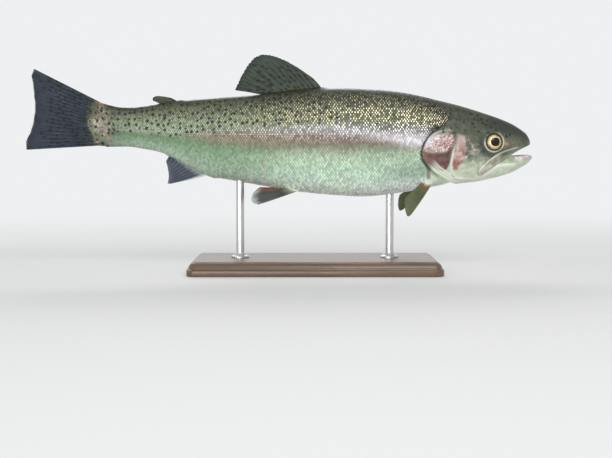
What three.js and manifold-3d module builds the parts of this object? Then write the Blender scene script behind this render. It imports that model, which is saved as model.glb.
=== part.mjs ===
// A life-size rainbow trout, swimming, as a still museum model held by two rods on a flat wooden base.
//
// Millimetres, +Z up, nose towards +X, the fish's left side towards +Y. The origin is the middle of the
// underside of the base. The fish itself is drawn in its own side-view coordinates: `back` is the distance
// behind the tip of the snout, `rise` the height above the lateral line, and `side` the distance to its left.
// The whole body is one smooth loft, parted with thin cuts into the pieces that a person would name.
import * as THREE from "three";
import { mergeVertices } from "three/addons/utils/BufferGeometryUtils.js";
import Module from "manifold-3d";

const wasm = await Module();
wasm.setup();

// ---- Driving dimensions ----

const BODY_LENGTH = 438; // from the snout to the end of the flesh, between the tail fin's rays
const NOSE_X = 214.5; // the snout, ahead of the middle of the base
const LINE_Z = 137.5; // the lateral line, above the floor
const GAP = 0.3; // between pieces that touch
const TAIL_SWING = 20; // how far the tip of the tail fin has swung to the fish's right
const SWING_FROM = 230; // where that bend starts, behind the snout
const SWING_TO = 501; // the tip of the tail fin

const EYE = { back: 38.1, rise: -8, radius: 8, bulge: 4, sunk: 2.2 };
const BASE = { length: 250, width: 112, thick: 14, corner: 10, bevel: 1.5 };
const ROD = { radius: 4, sunk: 14 };
const RODS = { front: 139.5, rear: 289.5 }; // how far behind the snout each one stands
const FERRULE = { radius: 9, high: 4.7 };

// ---- Curves ----

/** A smooth height along [place, value] points: cubic between them, level with the end slopes outside. */
function smoothLine(points) {
  const slopes = points.map((point, i) => {
    const before = points[Math.max(i - 1, 0)];
    const after = points[Math.min(i + 1, points.length - 1)];
    return (after[1] - before[1]) / (after[0] - before[0]);
  });
  return (place) => {
    const last = points.length - 2;
    let i = points.findIndex((point) => point[0] > place) - 1;
    i = i < -1 ? last : Math.max(i, 0);
    const [x0, y0] = points[i];
    const [x1, y1] = points[i + 1];
    const width = x1 - x0;
    const t = Math.min(Math.max((place - x0) / width, 0), 1);
    const rest = 1 - t;
    return (
      y0 * rest * rest * (1 + 2 * t) +
      y1 * t * t * (3 - 2 * t) +
      width * t * rest * (slopes[i] * rest - slopes[i + 1] * t)
    );
  };
}

const topLine = smoothLine([
  [-3, -13], [0, -6.5], [3.5, 0], [9.5, 5], [19.5, 11], [39.5, 18.8], [79.5, 31], [129.5, 42.2],
  [170, 45.6], [209.5, 45.5], [259.5, 40.5], [349.5, 33], [389.5, 27], [408, 26.6], [430, 31.5], [438, 33],
]);
const bottomLine = smoothLine([
  [-3, -24], [0, -28.5], [4, -31.5], [19.5, -39], [49.5, -46.7], [79.5, -49.6], [109.5, -55.8],
  [160, -62.4], [189.5, -61.6], [229.5, -57.8], [299.5, -46], [317.5, -41.8], [339.5, -31.5],
  [359.5, -20.8], [394.5, -13.2], [415, -12.6], [430, -13.2], [438, -14],
]);
const halfWidth = smoothLine([
  [-3, 1.5], [-1, 5.5], [2, 9], [6, 12], [12, 14.6], [22, 17.2], [36, 19.8], [60, 24], [90, 26.8],
  [130, 28], [170, 28], [220, 26.2], [280, 20.6], [330, 14.5], [370, 10], [410, 7], [430, 5], [438, 3.2],
]);
/** Where a section is widest: along the lips in front, and then low on the cheek and on the flank. */
const widestLine = smoothLine([
  [-3, -16.5], [8, -17.5], [20, -21], [40, -19], [70, -14], [110, -10], [170, -9], [260, -4],
  [340, 3], [400, 6.5], [438, 9.5],
]);
const topFullness = smoothLine([[-3, 2.1], [20, 2.3], [60, 2.35], [110, 2.15], [240, 2.05], [438, 2.2]]);
const bottomFullness = smoothLine([[-3, 2.1], [30, 1.9], [80, 2.0], [130, 2.25], [260, 2.1], [438, 2.1]]);

/** Half the width of the body at a height on one section. */
function sideAt(back, rise, swell = 0) {
  const widest = widestLine(back);
  const upper = rise > widest;
  const edge = upper ? topLine(back) + swell : bottomLine(back) - swell;
  const power = upper ? topFullness(back) : bottomFullness(back);
  const share = Math.min(Math.abs((rise - widest) / (edge - widest)), 1);
  return (halfWidth(back) + swell) * (1 - share ** power) ** (1 / power);
}

/** One closed section of the body, `swell` outside its surface, as [back, side, rise] points. */
function bodySection(back, swell = 0, quarter = 6) {
  const wide = halfWidth(back) + swell;
  const widest = widestLine(back);
  const ring = [];
  for (let i = 0; i < 4 * quarter; i++) {
    const angle = (Math.PI / 2) * (1 - i / quarter);
    const [across, up] = [Math.cos(angle), Math.sin(angle)];
    const edge = up > 0 ? topLine(back) + swell : bottomLine(back) - swell;
    const power = up > 0 ? topFullness(back) : bottomFullness(back);
    const side = Math.sign(across) * Math.abs(across) ** (2 / power) * wide;
    ring.push([back, side, widest + Math.abs(up) ** (2 / power) * (edge - widest)]);
  }
  return ring;
}

/** The lateral swing of a swimming fish: from [back, side, rise] to x, y and z from the snout's place. */
function swum([back, side, rise]) {
  const span = SWING_TO - SWING_FROM;
  const share = Math.max(back - SWING_FROM, 0) / span;
  const slope = (2 * TAIL_SWING * share) / span;
  return [-back - side * slope, side - TAIL_SWING * share * share, rise];
}

/** A solid drawn in [back, side, rise], turned to the part's axes and swung. */
function swim(solid) {
  return solid.mirror([1, 0, 0]).warp((point) => {
    const moved = swum([-point[0], point[1], point[2]]);
    moved.forEach((value, k) => (point[k] = value));
  });
}

// ---- Solids ----

/** A closed solid from a list of triangles' corners. */
function solidFrom(corners) {
  const loose = new THREE.BufferGeometry();
  loose.setAttribute("position", new THREE.Float32BufferAttribute(corners.flat(), 3));
  return solidOf(loose);
}

function solidOf(geometry) {
  const bare = geometry.clone();
  bare.deleteAttribute("normal");
  bare.deleteAttribute("uv");
  const merged = mergeVertices(bare, 1e-4);
  const made = new wasm.Manifold(
    new wasm.Mesh({
      numProp: 3,
      vertProperties: merged.attributes.position.array,
      triVerts: new Uint32Array(merged.index.array),
    }),
  );
  return made;
}

/** Rings of points, from nose to tail, joined into a solid whose two end rings are closed with a fan. */
function loft(rings) {
  const corners = [];
  const count = rings[0].length;
  const triangle = (a, b, c) => corners.push(a, b, c);
  for (let r = 0; r + 1 < rings.length; r++) {
    for (let i = 0; i < count; i++) {
      const j = (i + 1) % count;
      triangle(rings[r][i], rings[r + 1][i], rings[r][j]);
      triangle(rings[r][j], rings[r + 1][i], rings[r + 1][j]);
    }
  }
  const middle = (ring) => [0, 1, 2].map((k) => ring.reduce((sum, point) => sum + point[k], 0) / count);
  const [first, last] = [rings[0], rings[rings.length - 1]];
  const [firstMiddle, lastMiddle] = [middle(first), middle(last)];
  for (let i = 0; i < count; i++) {
    const j = (i + 1) % count;
    triangle(first[j], firstMiddle, first[i]);
    triangle(last[i], lastMiddle, last[j]);
  }
  const made = solidFrom(corners);
  return made.volume() < 0 ? solidFrom(corners.reverse()) : made;
}

/** A side-view outline of [back, rise] points, as a prism from one side distance to another. */
function prism(outline, fromSide = -80, toSide = 80) {
  const shape = new THREE.Shape(outline.map(([back, rise]) => new THREE.Vector2(back, rise)));
  const geometry = new THREE.ExtrudeGeometry(shape, { depth: toSide - fromSide, bevelEnabled: false });
  geometry.translate(0, 0, fromSide);
  geometry.rotateX(Math.PI / 2); // back stays, rise goes to the third place, side to the second
  geometry.scale(1, -1, 1);
  return flipped(geometry);
}

/** The same prism on one flank only, from a distance off the middle line outwards. */
function flankPrism(outline, innerSide, mirror) {
  return mirror > 0 ? prism(outline, innerSide, 80) : prism(outline, -80, -innerSide);
}

/** A solid from a geometry that a mirroring scale has turned inside out. */
function flipped(geometry) {
  const { position } = geometry.attributes;
  const corners = [];
  for (let i = position.count - 1; i >= 0; i--) {
    corners.push([position.getX(i), position.getY(i), position.getZ(i)]);
  }
  return solidFrom(corners);
}

/** The outline with every corner moved outwards by a distance. */
function grown(outline, distance) {
  const turn = Math.sign(THREE.ShapeUtils.area(outline.map(([x, y]) => new THREE.Vector2(x, y))));
  return outline.map((point, i) => {
    const before = outline[(i + outline.length - 1) % outline.length];
    const after = outline[(i + 1) % outline.length];
    const normal = (a, b) => new THREE.Vector2(b[1] - a[1], a[0] - b[0]).normalize();
    const [n1, n2] = [normal(before, point), normal(point, after)];
    const out = n1.clone().add(n2).multiplyScalar(distance * turn / (1 + n1.dot(n2)));
    return [point[0] + out.x, point[1] + out.y];
  });
}

/** An ellipsoid about a point of the fish, turned so that its flat side faces along `facing`. */
function ball(centre, radii, facing = [0, 1, 0]) {
  const geometry = new THREE.SphereGeometry(1, 16, 10);
  geometry.scale(...radii);
  const turn = new THREE.Quaternion().setFromUnitVectors(
    new THREE.Vector3(0, 1, 0),
    new THREE.Vector3(...facing).normalize(),
  );
  geometry.applyQuaternion(turn);
  geometry.translate(...centre);
  return solidOf(geometry);
}

// ---- The body and its cuts ----

function bodyStations() {
  const nose = [-2.6, -1.5, 0, 2, 4.5, 8, 12, 17, 23, 30, 38, 46, 55, 65, 76, 88, 100, 112];
  const trunk = Array.from({ length: 20 }, (_, i) => 126 + i * 14);
  return [...nose, ...trunk, 404, 416, 427, BODY_LENGTH];
}

const wholeBody = (swell = 0) => loft(bodyStations().map((back) => bodySection(back, swell)));

const gapeCorner = [22, -21.8]; // where the open lips meet
const gape = [[-12, -4.5], [-12, -22.5], [4, -22.2], gapeCorner, [10.5, -16.2], [0, -11]];

/** The edge of the gill opening, from the nape over the rear of the gill cover to the throat. */
const gillOpening = [
  [77.5, 32.5], [79.5, 24], [82, 17], [87.5, 10], [95, 3.8], [101.4, -0.5], [106.5, -7], [109.8, -14],
  [109.8, -21], [107.9, -27.6], [104.9, -35.4], [103.7, -43.5], [98, -51], [96, -57],
];
const headOutline = [[-30, 60], [77.5, 60], ...gillOpening, [96, -80], [-30, -80]];

/** The rear edge of the preopercle, which the gill cover hinges behind. */
const coverFront = [[78.5, -41], [81, -35.5], [81.4, -27.2], [80, -19.5], [77, -11], [75, -2], [75.5, 5.5]];
const coverOutline = [[78.5, 9], [87.5, 9.6], ...gillOpening.slice(4, 11), [96, -39.5], [87, -43], ...coverFront];
const COVER_INNER_SIDE = 12.5;

/** What moves with the lower jaw: below the lips and the upper jaw's edge, as far as the jaw joint. */
const jawOutline = [
  [-30, -22], [4, -22.2], gapeCorner, [32, -27], [43, -33.5], [51, -38.5], [56, -41.5], [57, -60], [-30, -60],
];

/** The upper jaw's rear bone, a narrow plate from the snout down past the eye. */
const upperJawOutline = [
  [5, -12.2], [20, -16.2], [33, -21.5], [45, -28], [53, -34], [54, -37.2], [51, -38.2], [43, -33.5],
  [32, -27], [22, -21.6], [5, -13.9],
];
const UPPER_JAW_INNER_SIDE = 8;

const VENT = 314; // where the trunk ends and the tail stalk begins

/** The way that the surface faces at a place on the fish's left flank. */
function facingAt(back, rise) {
  const step = 3;
  const along = (sideAt(back + step, rise) - sideAt(back - step, rise)) / (2 * step);
  const up = (sideAt(back, rise + step) - sideAt(back, rise - step)) / (2 * step);
  return new THREE.Vector3(-along, 1, -up).normalize().toArray();
}

function eyeball(mirror, swell = 0) {
  const facing = facingAt(EYE.back, EYE.rise);
  const surface = [EYE.back, sideAt(EYE.back, EYE.rise), EYE.rise];
  const centre = surface.map((value, k) => value - facing[k] * EYE.sunk);
  const radii = [EYE.radius + swell, EYE.bulge + swell, EYE.radius + swell];
  return ball([centre[0], centre[1] * mirror, centre[2]], radii, [facing[0], facing[1] * mirror, facing[2]]);
}

/** The mouth's inside, behind the lips: widest just behind the gape, and closed at the throat. */
const mouthRoom = () => ball([23, 0, -20.5], [27, 11.5, 5]);

const tongue = (swell = 0) => ball([21, 0, -25], [16 + swell, 6.5 + swell, 2.2 + swell]);

// ---- Fins ----

/**
 * A fin as a fan of rays. Every ray runs from the root line in a straight line, in the side view, at an angle
 * above straight back, and the fin spreads sideways by `spread` for each millimetre along a ray.
 */
function finSolid({ root, reach, angle, thick, rays, spread = 0, side = 0 }) {
  const [reachLine, angleLine] = [smoothLine(reach), smoothLine(angle)];
  const columns = rays * 2;
  const steps = 3;
  const rings = [];
  for (let step = 0; step <= steps; step++) {
    const out = step / steps;
    const [near, far] = [[], []];
    for (let column = 0; column <= columns; column++) {
      const share = column / columns;
      const length = reachLine(share) * out;
      const turn = THREE.MathUtils.degToRad(angleLine(share));
      const at = [0, 1].map((k) => root[0][k] + (root[1][k] - root[0][k]) * share);
      const edge = Math.min(1, 0.35 + 6 * Math.min(share, 1 - share));
      const ridge = column % 2 ? 1 : 0.72;
      const half = ((thick[0] * (1 - out) ** 1.5 + thick[1]) / 2) * Math.max(edge, 0.7) * ridge;
      const middle = [at[0] + Math.cos(turn) * length, side + spread * length, at[1] + Math.sin(turn) * length];
      const lean = spread ? Math.sign(spread) : 1;
      near.push([middle[0], middle[1] + half * lean, middle[2]]);
      far.unshift([middle[0], middle[1] - half * lean, middle[2]]);
    }
    rings.push([...near, ...far]);
  }
  return loft(rings);
}

const pelvicFin = (mirror) => ({
  root: [[229, -56.5], [239, -54]],
  reach: [[0, 43], [0.2, 46.5], [0.5, 43.5], [0.75, 37], [1, 30]],
  angle: [[0, -18.5], [0.25, -14.5], [0.5, -9.5], [0.75, -5], [1, -1]],
  thick: [2.6, 0.9],
  rays: 8,
  spread: 0.3 * mirror,
  side: 7.5 * mirror,
});

const pectoralFin = (mirror) => ({
  root: [[97.3, -47.9], [107.2, -46]],
  reach: [[0, 38], [0.15, 41], [0.45, 38.5], [0.75, 32], [1, 25]],
  angle: [[0, -51.5], [0.3, -51], [0.6, -48], [1, -40.5]],
  thick: [3, 0.9],
  rays: 9,
  spread: 0.85 * mirror,
  side: 14 * mirror,
});

const FINS = {
  dorsal_fin: {
    root: [[206, 44.5], [261, 38.5]],
    reach: [[0, 15], [0.16, 36], [0.4, 49], [0.55, 51], [0.7, 46.5], [0.85, 39], [1, 33]],
    angle: [[0, 50], [0.5, 48.5], [0.7, 40], [0.85, 27], [1, 11]],
    thick: [2.6, 0.9],
    rays: 12,
  },
  adipose_fin: {
    root: [[349, 32], [366, 29.5]],
    reach: [[0, 9], [0.35, 17], [0.7, 15], [1, 9.5]],
    angle: [[0, 30], [0.5, 24], [1, 26]],
    thick: [1.6, 1.8],
    rays: 4,
  },
  tail_fin: {
    root: [[425, 30], [425, -12.5]],
    reach: [[0, 74], [0.04, 76], [0.25, 70.5], [0.5, 66.5], [0.75, 69], [0.96, 76], [1, 74]],
    angle: [[0, 27.1], [0.25, 20], [0.5, 12.2], [0.75, 4.2], [1, -3.3]],
    thick: [5.5, 1],
    rays: 16,
  },
  anal_fin: {
    root: [[316.5, -40.5], [358.5, -19.5]],
    reach: [[0, 28], [0.12, 40], [0.3, 34], [0.6, 22], [1, 9]],
    angle: [[0, -15], [0.12, -18.5], [0.4, -27], [0.7, -40], [1, -62]],
    thick: [2.2, 0.9],
    rays: 9,
  },
  pelvic_fin_left: pelvicFin(1),
  pelvic_fin_right: pelvicFin(-1),
  pectoral_fin_left: pectoralFin(1),
  pectoral_fin_right: pectoralFin(-1),
};

// ---- The stand ----

/** Where a rod stands on the base, under the fish's middle line. */
function rodFoot(back) {
  const [x, y] = swum([back, 0, 0]);
  return [NOSE_X + x, y, BASE.thick + GAP + FERRULE.high + GAP];
}

/** A rod from its foot, at the origin, into the flesh. */
function rodGeometry(back, swell = 0) {
  const length = LINE_Z + bottomLine(back) + ROD.sunk - rodFoot(back)[2] + swell;
  const geometry = new THREE.CylinderGeometry(ROD.radius + swell, ROD.radius + swell, length, 20);
  return geometry.rotateX(Math.PI / 2).translate(0, 0, length / 2);
}

/** The low turned foot that a rod screws into, with its underside at the origin. */
function ferruleGeometry() {
  const { radius, high } = FERRULE;
  const profile = [[0, 0], [radius, 0], [radius, 2], [radius - 2.5, 3.6], [radius - 3.5, high], [0, high]];
  const geometry = new THREE.LatheGeometry(profile.map(([r, z]) => new THREE.Vector2(r, z)), 16);
  return geometry.rotateX(Math.PI / 2);
}

/** The base, with its underside at the origin. */
function baseGeometry() {
  const [half, deep, corner] = [BASE.length / 2 - BASE.bevel, BASE.width / 2 - BASE.bevel, BASE.corner];
  const shape = new THREE.Shape();
  shape.moveTo(-half + corner, -deep);
  shape.absarc(half - corner, -deep + corner, corner, -Math.PI / 2, 0);
  shape.absarc(half - corner, deep - corner, corner, 0, Math.PI / 2);
  shape.absarc(-half + corner, deep - corner, corner, Math.PI / 2, Math.PI);
  shape.absarc(-half + corner, -deep + corner, corner, Math.PI, 1.5 * Math.PI);
  const geometry = new THREE.ExtrudeGeometry(shape, {
    depth: BASE.thick - 2 * BASE.bevel,
    bevelThickness: BASE.bevel,
    bevelSize: BASE.bevel,
    bevelSegments: 1,
    curveSegments: 5,
  });
  return geometry.translate(0, 0, BASE.bevel);
}

// ---- Assembly ----

const LOOKS = {
  back: { color: 0x6d7050, roughness: 0.35, metalness: 0.2 },
  head: { color: 0x5c604c, roughness: 0.35, metalness: 0.1 },
  gill: { color: 0xb08890, roughness: 0.3, metalness: 0.2 },
  jaw: { color: 0xcfd6bd, roughness: 0.4, metalness: 0.1 },
  mouth: { color: 0xd8b9ae, roughness: 0.4, metalness: 0 },
  fin: { color: 0x5f6674, roughness: 0.5, metalness: 0 },
  paleFin: { color: 0x9aa588, roughness: 0.5, metalness: 0 },
  eye: { color: 0xd9a83c, roughness: 0.1, metalness: 0 },
  wood: { color: 0x3a2a1e, roughness: 0.5, metalness: 0 },
  steel: { color: 0xb9bcc0, roughness: 0.35, metalness: 1 },
};

/** A named mesh of a solid or a geometry, at a place in its group. */
function piece(name, shape, look, place = [0, 0, 0]) {
  let geometry = shape;
  if (shape instanceof wasm.Manifold) {
    const { vertProperties, triVerts } = shape.getMesh();
    geometry = new THREE.BufferGeometry();
    geometry.setAttribute("position", new THREE.Float32BufferAttribute(vertProperties, 3));
    geometry.setIndex(Array.from(triVerts));
    geometry.computeVertexNormals();
  }
  const mesh = new THREE.Mesh(geometry, new THREE.MeshStandardMaterial(LOOKS[look]));
  mesh.name = name;
  mesh.position.set(...place);
  return mesh;
}

const fish = new THREE.Group(); // its origin is level with the lateral line, at the tip of the snout
fish.position.set(NOSE_X, 0, LINE_Z);
const stand = new THREE.Group();

// The whole body is parted behind the gill covers, and again just ahead of the anal fin.
const body = wholeBody();
const headWhole = body.intersect(prism(headOutline));
const behindHead = body.subtract(prism(grown(headOutline, GAP)));
const stalkOutline = [[VENT, -90], [BODY_LENGTH + 20, -90], [BODY_LENGTH + 20, 90], [VENT, 90]];
const sockets = Object.values(RODS).map((back) =>
  solidOf(rodGeometry(back, GAP)).translate(rodFoot(back)).translate([-NOSE_X, 0, -LINE_Z]));
const trunk = swim(behindHead.subtract(prism(grown(stalkOutline, GAP))));
fish.add(piece("trunk", sockets.reduce((left, socket) => left.subtract(socket), trunk), "back"));
fish.add(piece("tail_stalk", swim(behindHead.intersect(prism(stalkOutline))), "back"));

// The head gives up its lower jaw, gill covers, upper jaw bones, eyes, tongue and the mouth's room.
const jawSpace = prism(grown(jawOutline, GAP));
const mouth = prism(gape).add(mouthRoom());
let head = headWhole.subtract(jawSpace).subtract(mouth).subtract(tongue(GAP));
for (const [name, mirror] of [["left", 1], ["right", -1]]) {
  const coverSpace = flankPrism(grown(coverOutline, GAP), COVER_INNER_SIDE - GAP, mirror);
  const boneSpace = flankPrism(grown(upperJawOutline, GAP), UPPER_JAW_INNER_SIDE - GAP, mirror);
  const eyeSpace = eyeball(mirror, GAP);
  const cover = headWhole.intersect(flankPrism(coverOutline, COVER_INNER_SIDE, mirror));
  const bone = headWhole.intersect(flankPrism(upperJawOutline, UPPER_JAW_INNER_SIDE, mirror));
  fish.add(piece(`gill_cover_${name}`, swim(cover.subtract(jawSpace)), "gill"));
  fish.add(piece(`upper_jaw_${name}`, swim(bone.subtract(mouth).subtract(jawSpace).subtract(eyeSpace)), "jaw"));
  fish.add(piece(`eye_${name}`, swim(eyeball(mirror)), "eye"));
  head = head.subtract(coverSpace).subtract(boneSpace).subtract(eyeSpace);
}
fish.add(piece("head", swim(head), "head"));
const jaw = headWhole.intersect(prism(jawOutline)).subtract(mouth).subtract(tongue(GAP));
fish.add(piece("lower_jaw", swim(jaw), "jaw"));
fish.add(piece("tongue", swim(tongue()), "mouth"));

// Fins stand on the skin: each one's root is cut off a gap outside it.
const skin = wholeBody(GAP);
for (const [name, shape] of Object.entries(FINS)) {
  const look = name.startsWith("pectoral") ? "paleFin" : "fin";
  const parts = finSolid(shape).subtract(skin).decompose();
  const fin = parts.reduce((largest, part) => (part.volume() > largest.volume() ? part : largest));
  fish.add(piece(name, swim(fin), look));
}

stand.add(piece("stand_base", baseGeometry(), "wood"));
for (const [name, back] of Object.entries(RODS)) {
  const [x, y, z] = rodFoot(back);
  stand.add(piece(`stand_rod_${name}`, rodGeometry(back), "steel", [x, y, z]));
  stand.add(piece(`stand_ferrule_${name}`, ferruleGeometry(), "steel", [x, y, BASE.thick + GAP]));
}

const trout = new THREE.Group();
trout.add(fish, stand);

export default trout;
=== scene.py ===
# %% [markdown]
# # A rainbow trout on its display stand
# A museum shows a fish in one of two ways: a painted cast, or a skin over a carved body. This model is made
# like the second. A smooth skin carries the form, some thirteen thousand scales lie over it like roof tiles,
# and the fins, eyes and tongue are pieces of their own. The stand is a wooden base with two metal rods.
#
# The imported CAD model is the frame. It says where the fish is and how far its outline reaches, and nothing
# here moves it. The flesh solids are replaced by the skin.

import math

import bmesh
import bpy
import numpy as np
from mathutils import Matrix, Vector


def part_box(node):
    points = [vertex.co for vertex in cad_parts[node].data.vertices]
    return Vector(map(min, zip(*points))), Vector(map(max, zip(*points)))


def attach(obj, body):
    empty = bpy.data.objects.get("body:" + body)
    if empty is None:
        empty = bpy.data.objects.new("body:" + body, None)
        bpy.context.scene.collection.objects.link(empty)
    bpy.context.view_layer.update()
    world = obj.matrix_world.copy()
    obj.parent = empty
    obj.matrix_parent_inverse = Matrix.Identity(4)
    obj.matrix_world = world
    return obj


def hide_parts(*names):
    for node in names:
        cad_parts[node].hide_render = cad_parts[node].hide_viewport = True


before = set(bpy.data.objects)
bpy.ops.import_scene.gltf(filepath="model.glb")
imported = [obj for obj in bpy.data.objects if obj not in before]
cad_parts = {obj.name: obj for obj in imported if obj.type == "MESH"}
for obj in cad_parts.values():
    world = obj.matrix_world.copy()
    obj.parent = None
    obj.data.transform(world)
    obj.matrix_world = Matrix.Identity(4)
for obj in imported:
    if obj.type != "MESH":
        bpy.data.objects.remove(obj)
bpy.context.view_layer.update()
MM = 0.001
SIDES = {"left": 1, "right": -1}
print("the frame has", len(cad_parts), "nodes")

# %% [markdown]
# ## Where the fish is
# A fish is easiest to draw in its own coordinates, in millimetres: `back` is the distance behind the tip of
# the snout, `side` the distance to the left of the middle plane, and `rise` the height above the lateral
# line, the row of pores along each flank. Two measurements of the frame carry those into the scene.

# %% From the fish's coordinates to the scene
JAW_LEAD = 2.6  # how far the lower jaw's tip is ahead of the snout
BELLY_DROP = 62.67  # from the lateral line down to the lowest part of the belly
SNOUT_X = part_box("lower_jaw")[1].x - JAW_LEAD * MM
LINE_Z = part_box("trunk")[0].z + BELLY_DROP * MM
SWING_FROM = 230.0  # the body bends aside from here
SWING_TO = 501.0  # to the tip of the tail fin
TAIL_SWING = 20.0  # how far to the right that tip is


def swum(points):
    """[back, side, rise] in millimetres, swung as a swimming fish is, as x, y and z in metres."""
    back, side, rise = points[..., 0], points[..., 1], points[..., 2]
    share = np.maximum(back - SWING_FROM, 0) / (SWING_TO - SWING_FROM)
    slope = 2 * TAIL_SWING * share / (SWING_TO - SWING_FROM)
    x = SNOUT_X - (back + side * slope) * MM
    y = (side - TAIL_SWING * share**2) * MM
    return np.stack([x, y, LINE_Z + rise * MM], -1)


print("the snout is at x", round(SNOUT_X, 4), "and the lateral line at z", round(LINE_Z, 4))

# %% [markdown]
# ## The lines of the body
# A boat builder describes a hull by a few long curves and the shape of its frames. A fish is the same: one
# curve for the back, one for the belly, one for the width, one for the height where each section is widest.
# Each section is a superellipse, a rounded form between an ellipse and a rectangle, whose fullness
# changes along the body. The curves are blurred a little, because a highlight shows every kink in a curve.

# %% A smooth curve through a few points


def smooth_curve(points, blur=3.0):
    """A function of one place, running smoothly through [place, value] points."""
    places, values = np.array(points, float).T
    slopes = np.gradient(values, places)
    slopes[1:-1] = (values[2:] - values[:-2]) / (places[2:] - places[:-2])
    step = 0.1
    grid = np.arange(places[0], places[-1] + step, step)
    i = np.clip(np.searchsorted(places, grid, side="right") - 1, 0, len(places) - 2)
    width = places[i + 1] - places[i]
    t = np.clip((grid - places[i]) / width, 0, 1)
    rest = 1 - t
    table = values[i] * rest**2 * (1 + 2 * t) + values[i + 1] * t**2 * (3 - 2 * t)
    table += width * t * rest * (slopes[i] * rest - slopes[i + 1] * t)
    if blur:
        reach = int(3 * blur / step)
        kernel = np.exp(-0.5 * (np.arange(-reach, reach + 1) * step / blur) ** 2)
        ends = [np.arange(-reach, 0) * step, np.arange(1, reach + 1) * step]
        head = table[0] + ends[0] * (table[1] - table[0]) / step
        tail = table[-1] + ends[1] * (table[-1] - table[-2]) / step
        table = np.convolve(np.concatenate([head, table, tail]), kernel / kernel.sum(), "valid")
    return lambda at: np.interp(at, grid, table)


def smoothstep(value, low, high):
    """0 at `low`, 1 at `high` and smooth between."""
    t = np.clip((value - low) / (high - low), 0, 1)
    return t * t * (3 - 2 * t)


def hill(distance, width):
    """1 at no distance, falling smoothly to nothing past about twice the width."""
    return np.exp(-((distance / width) ** 2))


def window(value, start, full_from, full_to, end):
    """0 up to `start` and past `end`, and 1 between `full_from` and `full_to`, with smooth slopes."""
    return smoothstep(value, start, full_from) * smoothstep(value, end, full_to)


# %% The hull lines of the trout
BODY_END = 440.0
back_line = smooth_curve(
    [
        [-6, -7.5], [0, -2.1], [3.5, 0.6], [9.5, 5], [19.5, 11], [39.5, 18.8], [79.5, 31], [129.5, 42.2],
        [170, 45.6], [209.5, 45.5], [259.5, 40.5], [349.5, 33], [389.5, 27], [408, 26.6], [430, 31.5],
        [445, 34],
    ],
    2.0,
)
belly_line = smooth_curve(
    [
        [-6, -26], [0, -28.6], [4, -30.8], [19.5, -39], [49.5, -46.7], [79.5, -49.6], [109.5, -55.8],
        [160, -62.4], [189.5, -61.6], [229.5, -57.8], [299.5, -46], [317.5, -41.8], [339.5, -31.5],
        [359.5, -20.8], [394.5, -13.2], [415, -12.6], [422, -12.6], [428, -12.1], [434, -11.5],
        [445, -11.2],
    ],
    2.0,
)
width_line = smooth_curve(
    [
        [-6, 12.4], [3, 13.4], [12, 14.8], [22, 17.2], [36, 19.8], [60, 24], [90, 26.8], [130, 28],
        [170, 28], [220, 26.2], [280, 20.6], [330, 14.5], [370, 10], [410, 7], [430, 4.6], [445, 3.2],
    ]
)
widest_line = smooth_curve(
    [
        [-6, -15.8], [8, -17.8], [22, -21.8], [40, -19], [70, -14], [110, -10], [170, -9], [260, -4],
        [340, 3], [400, 6.5], [445, 9.7],
    ],
    1.5,
)
back_fullness = smooth_curve([[-6, 2.1], [20, 2.3], [60, 2.35], [110, 2.15], [240, 2.05], [445, 2.2]])
belly_fullness = smooth_curve([[-6, 2.1], [30, 1.9], [80, 2.0], [130, 2.25], [260, 2.1], [445, 2.1]])
lateral_line = smooth_curve(
    [[-6, -9.6], [0, -8.5], [10, -3], [25, -0.5], [40, 0], [120, 0.5], [320, 0], [390, 3.5], [445, 6]]
)
coat_depth = smooth_curve([[-6, 0.2], [70, 0.3], [110, 0.8], [400, 0.7], [430, 0.5], [445, 0.5]])
FULLEST = 170.0  # where the body is deepest and widest
deep, wide = back_line(FULLEST) - belly_line(FULLEST), 2 * width_line(FULLEST)
print("the body is", round(float(deep)), "mm deep and", round(float(wide)), "mm wide at its fullest")

# %% [markdown]
# ## One section, and its rounded ends
# The snout and the chin end as domes, so the lines above are drawn in towards a tip by a quarter of an
# ellipse. The same formula closes the flesh between the rays of the tail fin. The mouth is open, so ahead of
# its corner the upper and the lower jaw are two separate forms, each with its own tip.

# %% The section at any place
SNOUT = {"tip": -0.5, "rise": -9.5, "length": 5.5, "width_length": 12.0}
CHIN = {"tip": -JAW_LEAD, "rise": -22.9, "length": 7.0, "width_length": 13.0}
MOUTH_CORNER = 22.0
TAIL_ROOT = 418.0
TAIL_ARC = 11.0  # how much sooner the flesh ends at the fin's edges than at its middle


def dome(back, tip, length):
    """0 at a tip, rising to 1 a length behind it, as a quarter of an ellipse does."""
    u = np.clip((tip + length - back) / length, 0, 1)
    return np.sqrt(1 - u**2)


def drawn_in(jaw, back, edge):
    """An edge of the sections, drawn in to the tip of a jaw."""
    return jaw["rise"] + (edge - jaw["rise"]) * dome(back, jaw["tip"], jaw["length"])


def tail_taper(back, up):
    """The flesh thins out between the tail's rays, along an arc. A trace is left, to keep the end a solid."""
    end = BODY_END - TAIL_ARC * np.abs(up) ** 1.6
    u = np.clip((back - TAIL_ROOT) / (end - TAIL_ROOT), 0, 0.999)
    return np.sqrt(1 - u**2)


def bare_point(back, turn):
    """The plain body. `turn` is the angle round a section, from the left, over the back, to the right."""
    across, up = np.cos(turn), np.sin(turn)
    above = up > 0
    depth = coat_depth(back)
    top = drawn_in(SNOUT, back, back_line(back) - depth)
    low = drawn_in(CHIN, back, belly_line(back) + depth)
    snout_width = dome(back, SNOUT["tip"], SNOUT["width_length"])
    chin_width = dome(back, CHIN["tip"], CHIN["width_length"])
    half = (width_line(back) - depth) * np.where(above, snout_width, chin_width)
    half = half * tail_taper(back, up)
    edge = np.where(above, top, low)
    power = np.where(above, back_fullness(back), belly_fullness(back))
    side = np.sign(across) * np.abs(across) ** (2 / power) * half
    rise = widest_line(back) + np.abs(up) ** (2 / power) * (edge - widest_line(back))
    return np.stack([back + 0 * side, side, rise], -1)


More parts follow.
